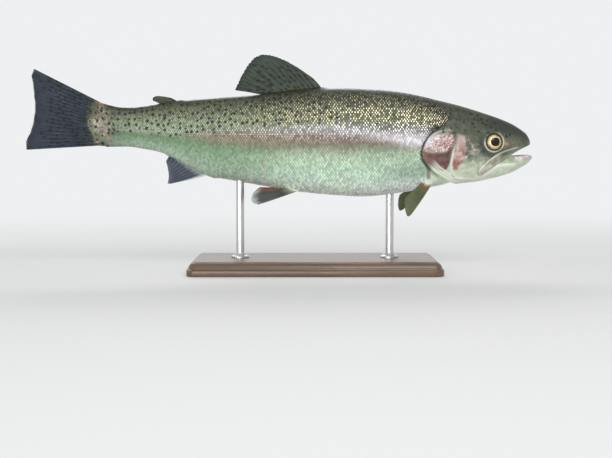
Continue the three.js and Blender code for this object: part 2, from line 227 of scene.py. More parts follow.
def turn_at(back, rise, above):
    """The turn, on the left side, at which a section reaches a height."""
    quarter = np.where(above, math.pi / 2, -math.pi / 2)
    edge = bare_point(back, quarter)[..., 2]
    share = np.clip((rise - widest_line(back)) / (edge - widest_line(back)), 0, 1)
    power = np.where(above, back_fullness(back), belly_fullness(back))
    return np.sign(quarter) * np.arcsin(share ** (power / 2))


print("mid-body section, left edge:", bare_point(np.array(170.0), np.array(0.0)).round(1))

# %% [markdown]
# ## Stations and columns
# The skin is one grid of rings, close together over the head, where the fine forms are, and far apart under
# the scales. Every ring has the same number of columns, so the grid never needs patching. Behind the corner
# of the mouth a ring is closed. Ahead of it the ring is parted into an arc over the upper jaw and another
# under the lower one, as a pair of trousers parts into legs, and both run on to a tip of their own.
# Points are spread evenly along each arc, because even spacing by angle would crowd the flanks.

# %% Rings of the body and arcs of the jaws
STATION_STEPS = [
    # back from and to, and the step between two rings
    (MOUTH_CORNER, 60, 0.5),
    (60, 116, 0.65),
    (116, TAIL_ROOT, 3.8),
]
ARC = 129  # points from one corner of the mouth to the other
RING = 2 * (ARC - 1)
JAW_STATIONS = 46
END_STATIONS = 12
ARC_SAMPLES = 601  # the fine steps in which an arc is measured


def sampled(line, run, at):
    """The points of a line at some distances along it, where `run` is the distance of each of its points."""
    return np.stack([np.interp(at, run, axis) for axis in line.T], -1)


def even_arc(back, start, end):
    """Evenly spaced points of the sections at `back`, from one turn to another."""
    share = np.linspace(0, 1, ARC_SAMPLES)
    turn = start[:, None] + (end - start)[:, None] * share
    line = bare_point(back[:, None] + 0 * turn, turn)
    step = np.linalg.norm(np.diff(line, axis=1), axis=2)
    run = np.concatenate([np.zeros((len(back), 1)), np.cumsum(step, 1)], 1)
    return np.array([sampled(one, at, np.linspace(0, at[-1], ARC)) for one, at in zip(line, run)])


end_share = np.sin(np.linspace(0, 0.97, END_STATIONS) * math.pi / 2)
body_stations = np.concatenate(
    [np.arange(*steps) for steps in STATION_STEPS] + [TAIL_ROOT + (BODY_END - TAIL_ROOT) * end_share]
)
flat = np.zeros(len(body_stations))
over = even_arc(body_stations, flat, flat + math.pi)
under = even_arc(body_stations, flat + math.pi, flat + 2 * math.pi)
body_rings = np.concatenate([over[:, :-1], under[:, :-1]], 1)

upper_lip = smooth_curve([[-0.5, -9.5], [3, -10.9], [10, -13.7], [15, -16.2], [19, -18.9], [22, -21.8]], 0)
lower_lip = smooth_curve([[-2.6, -22.9], [0, -22.1], [3, -21.6], [10, -22.2], [16, -22.6], [22, -21.8]], 0)
# The power brings the arcs closer together near the rounded tips.
toward_corner = (np.arange(1, JAW_STATIONS + 1) / (JAW_STATIONS + 1)) ** 1.6
snout_stations = SNOUT["tip"] + (MOUTH_CORNER - SNOUT["tip"]) * toward_corner
chin_stations = CHIN["tip"] + (MOUTH_CORNER - CHIN["tip"]) * toward_corner
lip_turn = turn_at(snout_stations, upper_lip(snout_stations), True)
upper_jaw = even_arc(snout_stations, lip_turn, math.pi - lip_turn)
lip_turn = turn_at(chin_stations, lower_lip(chin_stations), False)
lower_jaw = even_arc(chin_stations, math.pi - lip_turn, 2 * math.pi + lip_turn)
print(len(body_stations), "rings of", RING, "points, and", JAW_STATIONS, "arcs for each jaw")

# %% [markdown]
# ## One list of points, and the quads between them
# Numbering every point once lets neighbours share it, so the skin has no seam. The corner ring belongs to
# the body and is also the last arc of both jaws. Two single points close the tips.

# %% Numbering the skin
BODY = np.arange(len(body_stations) * RING).reshape(-1, RING)
UPPER = BODY.size + np.arange(JAW_STATIONS * ARC).reshape(-1, ARC)
LOWER = UPPER[-1, -1] + 1 + np.arange(JAW_STATIONS * ARC).reshape(-1, ARC)
SNOUT_TIP = LOWER[-1, -1] + 1
CHIN_TIP = SNOUT_TIP + 1
right_to_left = np.append(np.arange(ARC - 1, RING), 0)
UPPER_ALL = np.vstack([UPPER, BODY[0, :ARC]])
LOWER_ALL = np.vstack([LOWER, BODY[0, right_to_left]])
tips = np.array([[SNOUT["tip"], 0, SNOUT["rise"]], [CHIN["tip"], 0, CHIN["rise"]]])
bare = np.concatenate([part.reshape(-1, 3) for part in (body_rings, upper_jaw, lower_jaw)] + [tips])


def quads(rows):
    """A quad between every four neighbours in a grid of point numbers."""
    return np.stack([rows[:-1, :-1], rows[1:, :-1], rows[1:, 1:], rows[:-1, 1:]], -1).reshape(-1, 4)


def fan(tip, row):
    """Triangles from a point to a row, as quads whose last corner is repeated."""
    return np.stack([np.full(len(row) - 1, tip), row[:-1], row[1:], row[1:]], -1)


outer_faces = np.concatenate(
    [
        quads(np.hstack([BODY, BODY[:, :1]])),
        quads(UPPER_ALL),
        quads(LOWER_ALL),
        fan(SNOUT_TIP, UPPER[0]),
        fan(CHIN_TIP, LOWER[0]),
    ]
)


def point_normals(points, faces):
    """The mean of the outward normals of the faces round each point, by area. The faces run clockwise."""
    a, b, c, d = (points[faces[:, k]] for k in range(4))
    face = np.cross(d - b, c - a)
    total = np.zeros_like(points)
    for k in range(4):
        np.add.at(total, faces[:, k], face)
    return total / np.maximum(np.linalg.norm(total, axis=1, keepdims=True), 1e-9)


bare_normals = point_normals(bare, outer_faces)
print(len(bare), "points and", len(outer_faces), "faces outside the mouth")

# %% [markdown]
# ## Drawing on the head
# A trout's head is a mosaic of thin bones under the skin: a plate over each side of the mouth, the ring of
# bones round the eye, the curved ridge of the cheek and the gill cover with its free edge. An artist would
# draw these edges on the clay first and then press and raise the clay along them. The same is done here. Each
# edge is a short smooth path seen from the side, and every point of the skin knows how far it is from it
# and on which side.

# %% Paths on the side of the head, in back and rise
SPAN_STEPS = 10


def path(points):
    """A smooth path through [back, rise] points."""
    knots = np.array(points, float)
    knots = np.vstack([2 * knots[0] - knots[1], knots, 2 * knots[-1] - knots[-2]])
    t = np.linspace(0, 1, SPAN_STEPS, endpoint=False)[:, None]
    spans = []
    for a, b, c, d in zip(knots, knots[1:], knots[2:], knots[3:]):
        curve = 2 * b + (c - a) * t + (2 * a - 5 * b + 4 * c - d) * t**2 + (3 * b - a - 3 * c + d) * t**3
        spans.append(curve / 2)
    return np.vstack(spans + [knots[-2:-1]])


def beside(line, places):
    """How far each place is from a path, positive on its left, and how far along the path, from 0 to 1."""
    near = np.full(len(places), 1e9)
    signed = np.zeros(len(places))
    along = np.zeros(len(places))
    for i, (start, end) in enumerate(zip(line, line[1:])):
        way = end - start
        offset = places - start
        t = np.clip(offset @ way / (way @ way), 0, 1)
        gap = offset - t[:, None] * way
        distance = np.hypot(gap[:, 0], gap[:, 1])
        closer = distance < near
        near[closer] = distance[closer]
        turn = way[0] * offset[closer, 1] - way[1] * offset[closer, 0]
        signed[closer] = np.where(turn >= 0, 1, -1) * distance[closer]
        along[closer] = (i + t[closer]) / (len(line) - 1)
    return signed, along


def away_from(centre, places):
    return np.hypot(*(places - centre).T)


EYE = np.array([38.3, -7.9])
NOSTRIL_FRONT = np.array([21.8, -0.6])
NOSTRIL_REAR = np.array([25.3, -2.4])
MAXILLA_TOP = path(
    [[9, -11.6], [14, -12.6], [18.2, -13.7], [25.4, -15.7], [32.5, -18.4], [38.5, -21.7], [43.4, -25.5],
     [48.2, -29.9], [51.9, -33.9], [53.2, -37]]
)
MAXILLA_FOOT = path(
    [[53.2, -37], [52.6, -39.4], [50.2, -39.9], [46.4, -37.6], [42.7, -34.9], [37.9, -31.2], [33.2, -27.5],
     [28.3, -24.3], [23.3, -21.9], [20, -20]]
)
JAW_BONE = path([[15, -29.6], [21, -30], [27, -30.4], [34.9, -31.6], [40.7, -34.6], [46, -38.6], [50, -41.6]])
CHEEK_RIDGE = path(
    [[75.6, 5], [76.6, -2], [77.4, -10], [79.3, -16], [80.6, -22.5], [81.6, -30.3], [80.7, -35.5],
     [77.8, -40.3], [73.9, -43], [67, -44.3], [58, -44.6]]
)
CHEEK_FRONT = path([[67.5, 2], [66.4, -5], [65.7, -13], [65.6, -20.5], [67, -27]])
COVER_TOP = path([[73, 7], [77, 8.6], [83, 8], [89.5, 6], [94.5, 4.2]])
COVER_EDGE = path(
    [[88, 6.4], [93.5, 4.6], [98.4, 2], [102, -1], [104.8, -4.6], [108.1, -10.7], [110, -17.6],
     [109.4, -23.4], [107, -27.6], [103, -31.8], [97.6, -37.2], [90.2, -42], [80.4, -47], [70, -49.6],
     [58, -50]]
)
COVER_SUTURE = path(
    [[110, -16.9], [105.1, -17.8], [98.2, -18.4], [92.3, -19], [86.5, -17.6], [82.2, -14.4], [79.5, -9]]
)
LOWER_SUTURE = path(
    [[108, -26], [104, -29.3], [99, -32.4], [92.5, -35.2], [87.5, -35.3], [84, -31], [81.9, -27]]
)
cover_height = float(np.linalg.norm(COVER_EDGE[0] - COVER_EDGE[-1]))
print("the edge of the gill cover runs over", round(cover_height), "mm")

# %% [markdown]
# ## Pressing and raising the skin
# The relief is added along the skin's own normals, in millimetres. The socket of the eye is a bowl with a
# rolled rim, the nostrils are two pits with a flap between, the mouth plate and the gill cover stand proud
# of what lies under their free edges, and the rays of the gill membrane are fine ridges. Where a fin
# leaves the body its muscles make a low swelling.

# %% The relief of the whole skin
# Each term below is a height in millimetres, positive outwards, times masks from 0 to 1.
HEAD_END = 124.0  # nothing of the head's relief reaches further back
FIN_SWELLS = [
    # back from and to, rise from and to, side, height and reach of the swelling
    (208, 262, 44, 38.5, 0, 1.5, 4.5),
    (348, 367, 32, 29.5, 0, 0.7, 3),
    (315, 359, -41, -20, 0, 1.6, 4.5),
    (228, 241, -57.5, -54.5, 9, 1.5, 5),
    (96, 108, -48.5, -46.5, 17, 1.4, 5),
]


def fin_swell(points):
    back, side, rise = points.T
    total = np.zeros(len(points))
    for start, end, first, last, out, height, reach in FIN_SWELLS:
        share = np.clip((back - start) / (end - start), 0, 1)
        gap = np.stack([back - start - share * (end - start), np.abs(side) - out], -1)
        gap = np.hypot(np.hypot(gap[:, 0], gap[:, 1]), rise - first - share * (last - first))
        total += height * hill(gap, reach)
    return total


def eye_relief(places):
    """The rim and bowl of the socket, the furrow round it, the brow and the ring of bones."""
    away = away_from(EYE, places)
    ahead = (EYE[0] - places[:, 0]) / np.maximum(away, 0.1)
    above = (places[:, 1] - EYE[1]) / np.maximum(away, 0.1)
    rim = (0.55 + 0.2 * ahead) * hill(away - 9.0, 0.95)
    bowl = -3.4 * smoothstep(away, 8.7, 7.3)
    furrow = -0.42 * hill(away - 11.4, 1.2) * (0.75 - 0.55 * above)
    brow = 0.9 * hill(away - 12, 4) * smoothstep(above, 0.2, 0.9)
    bones = 0.22 * hill(away - 15.2, 1.7) * smoothstep(above, 0.3, -0.4)
    return rim + bowl + furrow + brow + bones


def nostril_relief(places):
    """Two pits, each with a low rim, and the flap between them."""
    total = np.zeros(len(places))
    for centre, reach, depth in ((NOSTRIL_FRONT, 1.0, 1.4), (NOSTRIL_REAR, 1.25, 1.7)):
        away = away_from(centre, places)
        total -= depth * smoothstep(away, reach + 0.35, reach - 0.45)
        total += 0.28 * hill(away - reach - 0.7, 0.5)
    flap = (NOSTRIL_FRONT + NOSTRIL_REAR) / 2
    return total + 0.6 * hill(away_from(flap, places), 0.7)


def cheek_relief(places):
    """The plate beside the mouth, the creases along its edges and the ridge of the lower jaw."""
    top, _ = beside(MAXILLA_TOP, places)
    foot, _ = beside(MAXILLA_FOOT, places)
    back = places[:, 0]
    plate = smoothstep(top, 0.1, -0.8) * smoothstep(foot, 0.35, -0.35) * smoothstep(back, 12, 24)
    crease = -0.45 * hill(top - 0.3, 0.6) * smoothstep(back, 14, 22) * (back < 55)
    under = -0.5 * hill(foot - 0.8, 0.8) * smoothstep(back, 22, 27)
    jaw, share = beside(JAW_BONE, places)
    jaw_ridge = (0.55 * hill(jaw, 0.7) - 0.35 * hill(jaw - 1.7, 0.9)) * window(share, 0, 0.12, 0.85, 1)
    return 1.15 * plate + crease + under + jaw_ridge


def cover_relief(places):
    """The cheek's ridge, the gill cover with its free edge and sutures, and the rays under it."""
    ridge, share = beside(CHEEK_RIDGE, places)
    ends = window(share, 0, 0.15, 0.85, 1)
    cheek = (0.75 * hill(ridge + 0.4, 1.0) - 0.6 * hill(ridge - 1.3, 0.9)) * ends
    cheek += 0.35 * smoothstep(ridge, 0.6, -0.4) * hill(ridge, 5) * ends
    front, share = beside(CHEEK_FRONT, places)
    cheek -= 0.3 * hill(front, 0.7) * window(share, 0, 0.2, 0.7, 1)
    edge, share = beside(COVER_EDGE, places)
    free = window(share, 0.02, 0.14, 0.8, 1)
    cover = 1.7 * smoothstep(edge, 0.35, -0.35) * hill(np.minimum(edge, 0), 14)
    groove = -1.3 * hill(edge - 1.0, 1.3) * (edge > -0.3)
    low = window(share, 0.5, 0.66, 0.84, 0.98)
    groove -= 1.3 * hill(edge - 2.2, 1.8) * low * (edge > -0.3)
    top, share_top = beside(COVER_TOP, places)
    cheek -= 0.35 * hill(top, 0.8) * smoothstep(share_top, 0, 0.3)
    for line, depth in ((COVER_SUTURE, 0.35), (LOWER_SUTURE, 0.5)):
        gap, along = beside(line, places)
        cheek -= depth * hill(gap, 0.65) * smoothstep(along, 1, 0.85)
    for inset in (2.4, 4.8, 7.2, 9.6):
        rays = 0.5 * hill(edge + inset, 0.75) * window(share, 0.6, 0.7, 0.86, 0.97)
        cheek += rays * smoothstep(ridge, -0.5, 1.5)
    return cheek + (cover + groove) * free


def throat_relief(points):
    """The soft throat between the bones of the lower jaw, seen from below."""
    back, side, rise = points.T
    below = smoothstep(rise - belly_line(back), 9, 3)
    inner = 3.2 + 0.055 * np.maximum(back - 12, 0)
    length = window(back, 8, 20, 76, 92)
    groove = -0.9 * hill(np.abs(side) - inner, 0.9)
    keel = 0.5 * hill(side, 2) * smoothstep(back, 40, 60)
    return (groove + keel) * below * length


def crown_relief(points):
    """Shallow furrows along the top of the head, and the nape where the scales begin."""
    back, side, rise = points.T
    above = smoothstep(back_line(back) - rise, 8, 3)
    length = window(back, 12, 20, 50, 70)
    furrow = -0.3 * hill(np.abs(side) - 4.6, 1.1)
    return furrow * above * length


def relief(points):
    """How far the skin is raised at [back, side, rise] points of the bare body."""
    total = fin_swell(points)
    head = points[:, 0] < HEAD_END
    places = points[head][:, [0, 2]]
    face = eye_relief(places) + nostril_relief(places) + cheek_relief(places) + cover_relief(places)
    total[head] += face + throat_relief(points[head]) + crown_relief(points[head])
    return total


raised = relief(bare)
outer = bare + bare_normals * raised[:, None]
print("the relief runs from", raised.min().round(1), "to", raised.max().round(1), "mm")

# %% [markdown]
# ## Lips and the inside of the mouth
# The edge left by the two jaws is one closed loop: along the upper lip from corner to corner, and back along
# the lower. The inside is made by pulling that loop inwards. The first few loops roll round the lip, and
# the rest run like a funnel to the throat, arched over the tongue above and hollowed under it below. At
# the corners the roll dies away, so that upper and lower lip meet in a web of skin, as they do in life.

# %% Rolling the lips and lining the mouth
UPPER_LIP = 0.92  # radius of the roll
LOWER_LIP = 1.3225
ROLL_FADES_OVER = 7
LIP_STEPS = 7
LINING_STEPS = 16
THROAT = {"back": 46.0, "rise": -22.0, "half_width": 6.5, "half_height": 3.2}
PALATE_ARCH = 3.2
FLOOR_HOLLOW = 3.6

left_corner, right_corner = BODY[0, 0], BODY[0, ARC - 1]
upper_side = np.concatenate([[left_corner], UPPER[::-1, 0], [SNOUT_TIP], UPPER[:, -1], [right_corner]])
lower_side = np.concatenate([[right_corner], LOWER[::-1, 0], [CHIN_TIP], LOWER[:, -1], [left_corner]])
lip_loop = np.concatenate([upper_side[:-1], lower_side[:-1]])


def inward(side_loop):
    """The level direction from a lip into the mouth, at each point of it."""
    line = outer[side_loop][:, :2]
    # The tips are blunt, so the direction is taken over a few neighbours on each side.
    ahead = np.array([line[min(i + 3, len(line) - 1)] for i in range(len(line))])
    behind = np.array([line[max(i - 3, 0)] for i in range(len(line))])
    way = ahead - behind
    way /= np.linalg.norm(way, axis=1, keepdims=True)
    normal = np.stack([-way[:, 1], way[:, 0]], -1)
    middle = np.array([MOUTH_CORNER, 0.0])
    normal *= np.sign(np.sum(normal * (middle - line), 1, keepdims=True))
    return np.hstack([normal, np.zeros((len(line), 1))])


def lip_loops():
    """The loops that roll round the lips and then run to the throat."""
    half = len(upper_side) - 1
    angle = math.pi * np.arange(len(lip_loop)) / half
    upper_in, lower_in = inward(upper_side), inward(lower_side)
    into = np.concatenate([upper_in[:-1], lower_in[:-1]])
    corner = [0, half]
    into[corner] = (np.stack([upper_in[0], lower_in[0]]) + np.stack([lower_in[-1], upper_in[-1]])) / 2
    start = outer[lip_loop]
    way = np.where(np.arange(len(lip_loop)) < half, 1.0, -1.0)
    roll = smoothstep(start[:, 0], MOUTH_CORNER, MOUTH_CORNER - ROLL_FADES_OVER)
    thick = np.where(way > 0, UPPER_LIP, LOWER_LIP)
    loops = []
    for i in range(1, LIP_STEPS + 1):
        turn = math.pi * i / LIP_STEPS
        drop = -way * thick * math.sin(turn) * roll
        reach = thick * (1 - math.cos(turn))
        loops.append(start + into * reach[:, None] + np.stack([0 * drop, 0 * drop, drop], -1))
    throat = np.stack(
        [
            np.full(len(lip_loop), THROAT["back"]),
            THROAT["half_width"] * np.cos(angle),
            THROAT["rise"] + THROAT["half_height"] * np.sin(angle),
        ],
        -1,
    )
    edge = loops[-1]
    depth = np.where(way > 0, PALATE_ARCH, -FLOOR_HOLLOW) * np.abs(np.sin(angle)) ** 0.7
    for i in range(1, LINING_STEPS + 1):
        share = i / LINING_STEPS
        loop = edge + (throat - edge) * share
        loop[:, 2] += depth * math.sin(math.pi * share**0.6)
        loops.append(loop)
    return np.array(loops)


lining = lip_loops()
LINING = len(outer) + np.arange(lining.shape[0] * lining.shape[1]).reshape(lining.shape[:2])
THROAT_END = LINING[-1, -1] + 1
loops_all = np.vstack([lip_loop, LINING])
loops_all = np.hstack([loops_all, loops_all[:, :1]])
throat_end = np.array([[THROAT["back"] + 2, 0, THROAT["rise"]]])
inner_points = np.vstack([lining.reshape(-1, 3), throat_end])
print("the mouth's lining has", lining.shape[0], "loops of", lining.shape[1], "points")

# %% [markdown]
# ## Closing the stalk
# The flesh ends between the rays of the tail fin as a tall thin wedge. Its last ring is closed by a strip
# from each point on the left to the one across from it on the right.

# %% The whole skin as one closed mesh


def close_end(ring):
    """Quads from the left half of the last ring across to the right half."""
    above = ring[:ARC]
    below = np.append(ring[ARC - 1 :], ring[0])
    rows = []
    for half in (above, below):
        left, right = half[: ARC // 2 + 1], half[::-1][: ARC // 2 + 1]
        rows.append(np.stack([left[:-1], right[:-1], right[1:], left[1:]], -1))
    rows[1] = rows[1][:, ::-1]
    return np.vstack(rows)


def in_scene(name, data):
    holder = bpy.data.objects.new(name, data)
    bpy.context.scene.collection.objects.link(holder)
    return holder


def mesh_from(name, points, faces):
    """A mesh object of quads, in which a repeated corner stands for a triangle, with its faces outwards."""
    mesh = bpy.data.meshes.new(name)
    rows = [list(dict.fromkeys(face)) for face in faces.tolist()]
    mesh.from_pydata(points.tolist(), [], [row for row in rows if len(row) > 2])
    body = bmesh.new()
    body.from_mesh(mesh)
    bmesh.ops.recalc_face_normals(body, faces=body.faces)
    if body.calc_volume(signed=True) < 0:
        bmesh.ops.reverse_faces(body, faces=body.faces)
    open_edges = sum(not edge.is_manifold for edge in body.edges)
    body.to_mesh(mesh)
    body.free()
    mesh.polygons.foreach_set("use_smooth", [True] * len(mesh.polygons))
    piece = in_scene(name, mesh)
    print(name, "has", len(mesh.polygons), "faces and", open_edges, "open edges")
    return piece


skin_faces = np.vstack(
    [outer_faces, quads(loops_all)[:, ::-1], fan(THROAT_END, loops_all[-1]), close_end(BODY[-1])]
)
skin = mesh_from("skin", swum(np.vstack([outer, inner_points])), skin_faces)

# %% [markdown]
# ## What the skin knows about itself
# Colour on a fish follows the body, not space: dark along the back, a pink stripe beside the lateral line,
# silver below. So each point of the skin, and later each scale, carries where it is: how far back, and its
# height as a share, 0 on the lateral line, 1 on the ridge of the back and -1 on the belly. The head's
# own patches are masks drawn from the same paths that shaped it, so paint and relief always agree.

# %% Attributes for the paint


def height_share(back, rise):
    level = lateral_line(back)
    above = (rise - level) / np.maximum(back_line(back) - level, 1)
    below = (rise - level) / np.maximum(level - belly_line(back), 1)
    return np.clip(np.where(rise > level, above, below), -1, 1)


def lie_of(points):
    """Metres behind the snout, the height share, and the shadow behind the gill cover's edge."""
    back, side, rise = points.T
    edge, share = beside(COVER_EDGE, points[:, [0, 2]])
    shadow = window(edge, -0.3, 0.3, 0.8, 3.4)
    shadow *= window(share, 0.0, 0.1, 0.6, 0.86) * smoothstep(np.abs(side), 4, 9)
    return np.stack([back * MM, height_share(back, rise), shadow], -1)


UNROLLED_FROM = 60.0
UNROLLED_SECTIONS = 96
UNROLLED_TURNS = 241


def ridge_distances():
    """For sections along the body and turns round them, the distance round from the ridge of the back."""
    backs = np.linspace(UNROLLED_FROM, BODY_END, UNROLLED_SECTIONS)
    turns = np.linspace(math.pi / 2, -math.pi / 2, UNROLLED_TURNS)
    line = bare_point(*np.meshgrid(backs, turns, indexing="ij"))
    steps = np.linalg.norm(np.diff(line, axis=1), axis=2)
    return backs, turns, np.hstack([np.zeros((len(backs), 1)), np.cumsum(steps, axis=1)])


RIDGE_TABLE = ridge_distances()


def unrolled(points):
    """Metres behind the snout, and metres round from the ridge: + on the left, - on the right."""
    backs, turns, distances = RIDGE_TABLE
    back, side, rise = points.T
    turn = turn_at(back, rise, rise > widest_line(back))
    column = np.clip((back - backs[0]) / (backs[1] - backs[0]), 0, len(backs) - 1.001)
    row = np.clip((turn - turns[0]) / (turns[1] - turns[0]), 0, len(turns) - 1.001)
    c, r = column.astype(int), row.astype(int)
    past_c, past_r = column - c, row - r
    ahead = distances[c, r] * (1 - past_r) + distances[c, r + 1] * past_r
    behind = distances[c + 1, r] * (1 - past_r) + distances[c + 1, r + 1] * past_r
    round_from_ridge = (ahead * (1 - past_c) + behind * past_c) * np.sign(side)
    return np.stack([back, round_from_ridge, 0 * back], -1) * MM


def inside(outline, places, soft):
    """1 within the smooth outline through some points, and 0 outside, with a soft edge."""
    line = path(outline)
    ring = np.vstack([line, line[:1]])
    signed, _ = beside(ring, places)
    turns = np.zeros(len(places))
    for a, b in zip(ring, ring[1:]):
        u, v = a - places, b - places
        turns += np.arctan2(u[:, 0] * v[:, 1] - u[:, 1] * v[:, 0], np.sum(u * v, 1))
    within = np.where(np.abs(turns) > math.pi, 1, -1) * np.abs(signed)
    return smoothstep(within, -soft, soft)


MAUVE_PATCH = [
    [81, -9], [84, -16], [88, -18.5], [98, -18.8], [109, -16.6], [109.6, -20], [108, -26], [104, -29.5],
    [99, -32.4], [92, -35.3], [87, -35.2], [83.5, -31], [81.8, -24], [80.5, -17],
]
PEARL_PATCH = [
    [79, -0.5], [78.5, -9], [82, -14.5], [87, -17.4], [98, -18], [109, -16], [107, -12], [103, -7.5],
    [98, -2.6], [91, 0.2], [84, 1.0],
]
ROSE_PATCH = [
    [67.5, -2], [66.8, -12], [67, -19], [70, -26], [74, -33], [77.5, -36], [79.6, -33], [79.6, -26],
    [78.4, -18], [76.5, -8], [75.5, 0],
]
GILL_SLIT = [[101.3, -31.5], [103.5, -30.5], [104.6, -36], [104.4, -43.5], [100.8, -43.5]]
COVER_ARCH = path([[104, -5.5], [98, -0.4], [91, 2.7], [84, 3.8], [78, 2.6]])


def head_paint(points):
    """Masks from 0 to 1 for the head's patches, its pale bone lines with their painted highlights and its
    painted shade, as three sets of three.
    """
    back, side, rise = points.T
    places = points[:, [0, 2]]
    edge, edge_share = beside(COVER_EDGE, places)
    ridge, _ = beside(CHEEK_RIDGE, places)
    top, _ = beside(MAXILLA_TOP, places)
    foot, _ = beside(MAXILLA_FOOT, places)
    jaw, jaw_share = beside(JAW_BONE, places)
    arch, arch_share = beside(COVER_ARCH, places)
    rays = sum(hill(edge + inset, 0.85) for inset in (0.6, 2.6, 5.0, 7.4))
    rays *= window(edge_share, 0.6, 0.7, 0.85, 1)
    eye = away_from(EYE, places)
    ahead = (EYE[0] - back) / np.maximum(eye, 0.1)
    under = (EYE[1] - rise) / np.maximum(eye, 0.1)
    round_eye = np.clip(0.04 + 0.9 * np.maximum(ahead, 0.75 * under - 0.45 * ahead), 0, 1)
    # Pale lines over the bones: partly the skin's own pale colour, partly a painted highlight where a ridge
    # catches the light.
    bone_and_highlight = [
        0.6 * hill(top + 0.4, 0.5) * smoothstep(back, 12, 18) * (foot < 0.5),
        0.2 * hill(foot + 0.5, 0.6) * smoothstep(back, 14, 20) * (top < 0.5),
        hill(jaw + 0.4, 1.5) * window(jaw_share, 0, 0.1, 0.9, 1),
        0.9 * hill(ridge + 0.4, 0.9) * smoothstep(rise, -8, -20),
        0.9 * rays * smoothstep(ridge, -0.5, 1.5),
        0.5 * hill(arch, 1.5) * window(arch_share, 0, 0.2, 0.7, 1),
        hill(eye - 9.4, 0.7) * round_eye,
    ]
    # Painted shade in the creases: the gill cover's free edge, the socket round the eye, the nostrils and the
    # edges of the mouth plate are darkened where shade falls.
    crease = [
        hill(edge - 0.8, 1.6) * window(edge_share, 0, 0.1, 0.5, 0.8),
        0.7 * hill(eye - 8.3, 0.7),
        0.8 * hill(away_from(NOSTRIL_FRONT, places), 0.95),
        0.9 * hill(away_from(NOSTRIL_REAR, places), 1.2),
        0.55 * hill(foot - 0.7, 0.7) * smoothstep(back, 24, 30),
        0.4 * hill(top - 0.6, 0.6) * smoothstep(back, 16, 22),
    ]
    plate = smoothstep(top, 0.2, -0.5) * smoothstep(foot, 0.4, -0.2) * smoothstep(back, 10, 16)
    tan = plate * smoothstep(back, 28, 38)
    before_eye = np.exp(-(((back - 27) / 7) ** 2) - ((rise + 9) / 4.5) ** 2)
    behind_eye = 0.30 * hill(np.hypot(back - 60, rise + 7), 5)
    shade = hill(eye - 13.0, 5.2) * smoothstep(under - 0.35 * ahead, -0.35, 0.45)
    mauve, pearl = inside(MAUVE_PATCH, places, 1.1), inside(PEARL_PATCH, places, 1.2)
    # The gill slit's mask is for painted shade in the opening under the cover.
    rose, slit_shade = inside(ROSE_PATCH, places, 1.8), inside(GILL_SLIT, places, 0.8)
    masks = {
        "paint_cover": [mauve, pearl, rose],
        "paint_bone": [np.maximum.reduce(bone_and_highlight), np.maximum.reduce(crease), tan],
        "paint_face": [np.maximum(before_eye, behind_eye), shade, slit_shade],
    }
    side_on = smoothstep(np.abs(side), 4, 9)[:, None]
    return {name: np.stack(three, -1) * side_on for name, three in masks.items()}


def set_attribute(mesh, name, values, kind="FLOAT_VECTOR"):
    layer = mesh.attributes.new(name, kind, "POINT")
    field = "vector" if kind == "FLOAT_VECTOR" else "value"
    layer.data.foreach_set(field, np.ravel(values).astype(np.float32))


def place_on_body(mesh, points):
    """Store where each point lies on the body."""
    set_attribute(mesh, "lie", lie_of(points))
    set_attribute(mesh, "unrolled", unrolled(points))


paint_points = np.vstack([bare, inner_points])
place_on_body(skin.data, paint_points)
for name, values in head_paint(bare).items():
    set_attribute(skin.data, name, np.vstack([values, np.zeros((len(inner_points), 3))]))

# How many loops each point lies inside the mouth. The points outside are at 0.
loops_in = np.append(np.repeat(np.arange(len(lining)) + 1, lining.shape[1]), len(lining))
loops_in = np.append(np.zeros(len(bare)), loops_in)
moist = np.clip(loops_in / LIP_STEPS, 0, 1)
# `deep` grows towards the throat and darkens the lining there: painted shade inside the mouth.
deep = np.clip((loops_in - LIP_STEPS) / LINING_STEPS, 0, 1)
chin = np.append(LOWER.ravel(), CHIN_TIP)
back, _, rise = bare[chin].T
lip = np.zeros(len(paint_points))
lip[chin] = smoothstep(np.abs(rise - lower_lip(back)), 5.0, 2.4) * smoothstep(back, 21.5, 15)
set_attribute(skin.data, "paint_mouth", np.stack([moist, deep, lip], -1))
carried = [layer.name for layer in skin.data.attributes if layer.data_type == "FLOAT_VECTOR"]
print("the skin carries", carried)

# %% [markdown]
# ## A lattice of scales
# A trout has about 125 scales along its lateral line and thirty to forty rows above and below it, each row
# half a scale out of step with the next. The lattice is laid in the body's own terms. Columns follow each
# other at a scale's pitch, which shrinks towards the tail, and rows are counted by distance round the
# section from the lateral line, shrinking in the same way, so that the rows run together smoothly.

# %% Where the scales are rooted
SCALE_PITCH = 2.62  # mm along the body
ROW_PITCH = 1.98  # mm round the body
ROWS_UP = 34
ROWS_DOWN = 44
FINE_TURNS = 1201  # steps in which a section is measured
PAST_END = 0.3  # how far past the midline a scale may still be rooted
FIRST_COLUMN = 78.0
LAST_COLUMN = 441.0
pitch_share = smooth_curve(
    [[70, 0.86], [100, 0.95], [150, 1.06], [240, 1.06], [330, 0.9], [400, 0.76], [445, 0.7]]
)
front_of_scales = smooth_curve(
    [
        [-64, 97], [-52, 103], [-43, 106.2], [-31, 106.6], [-28, 108], [-23, 110.6], [-17.6, 111.4],
        [-10.7, 109.4], [-3.9, 105.4], [2.9, 99], [5.9, 93], [9.8, 86], [16.7, 83], [20.6, 85],
        [29.6, 94.2], [39, 101], [46, 104],
    ],
    0.8,
)
rear_of_scales = smooth_curve(
    [[-16, 420], [-8, 425], [2, 431.5], [11, 433.5], [20, 431.5], [29, 425], [36, 419]], 1
)

column_backs = [FIRST_COLUMN]
while column_backs[-1] < LAST_COLUMN:
    column_backs.append(column_backs[-1] + SCALE_PITCH / 2 * float(pitch_share(column_backs[-1])))
column_backs = np.array(column_backs)
row_numbers = np.arange(-ROWS_DOWN, ROWS_UP + 1)


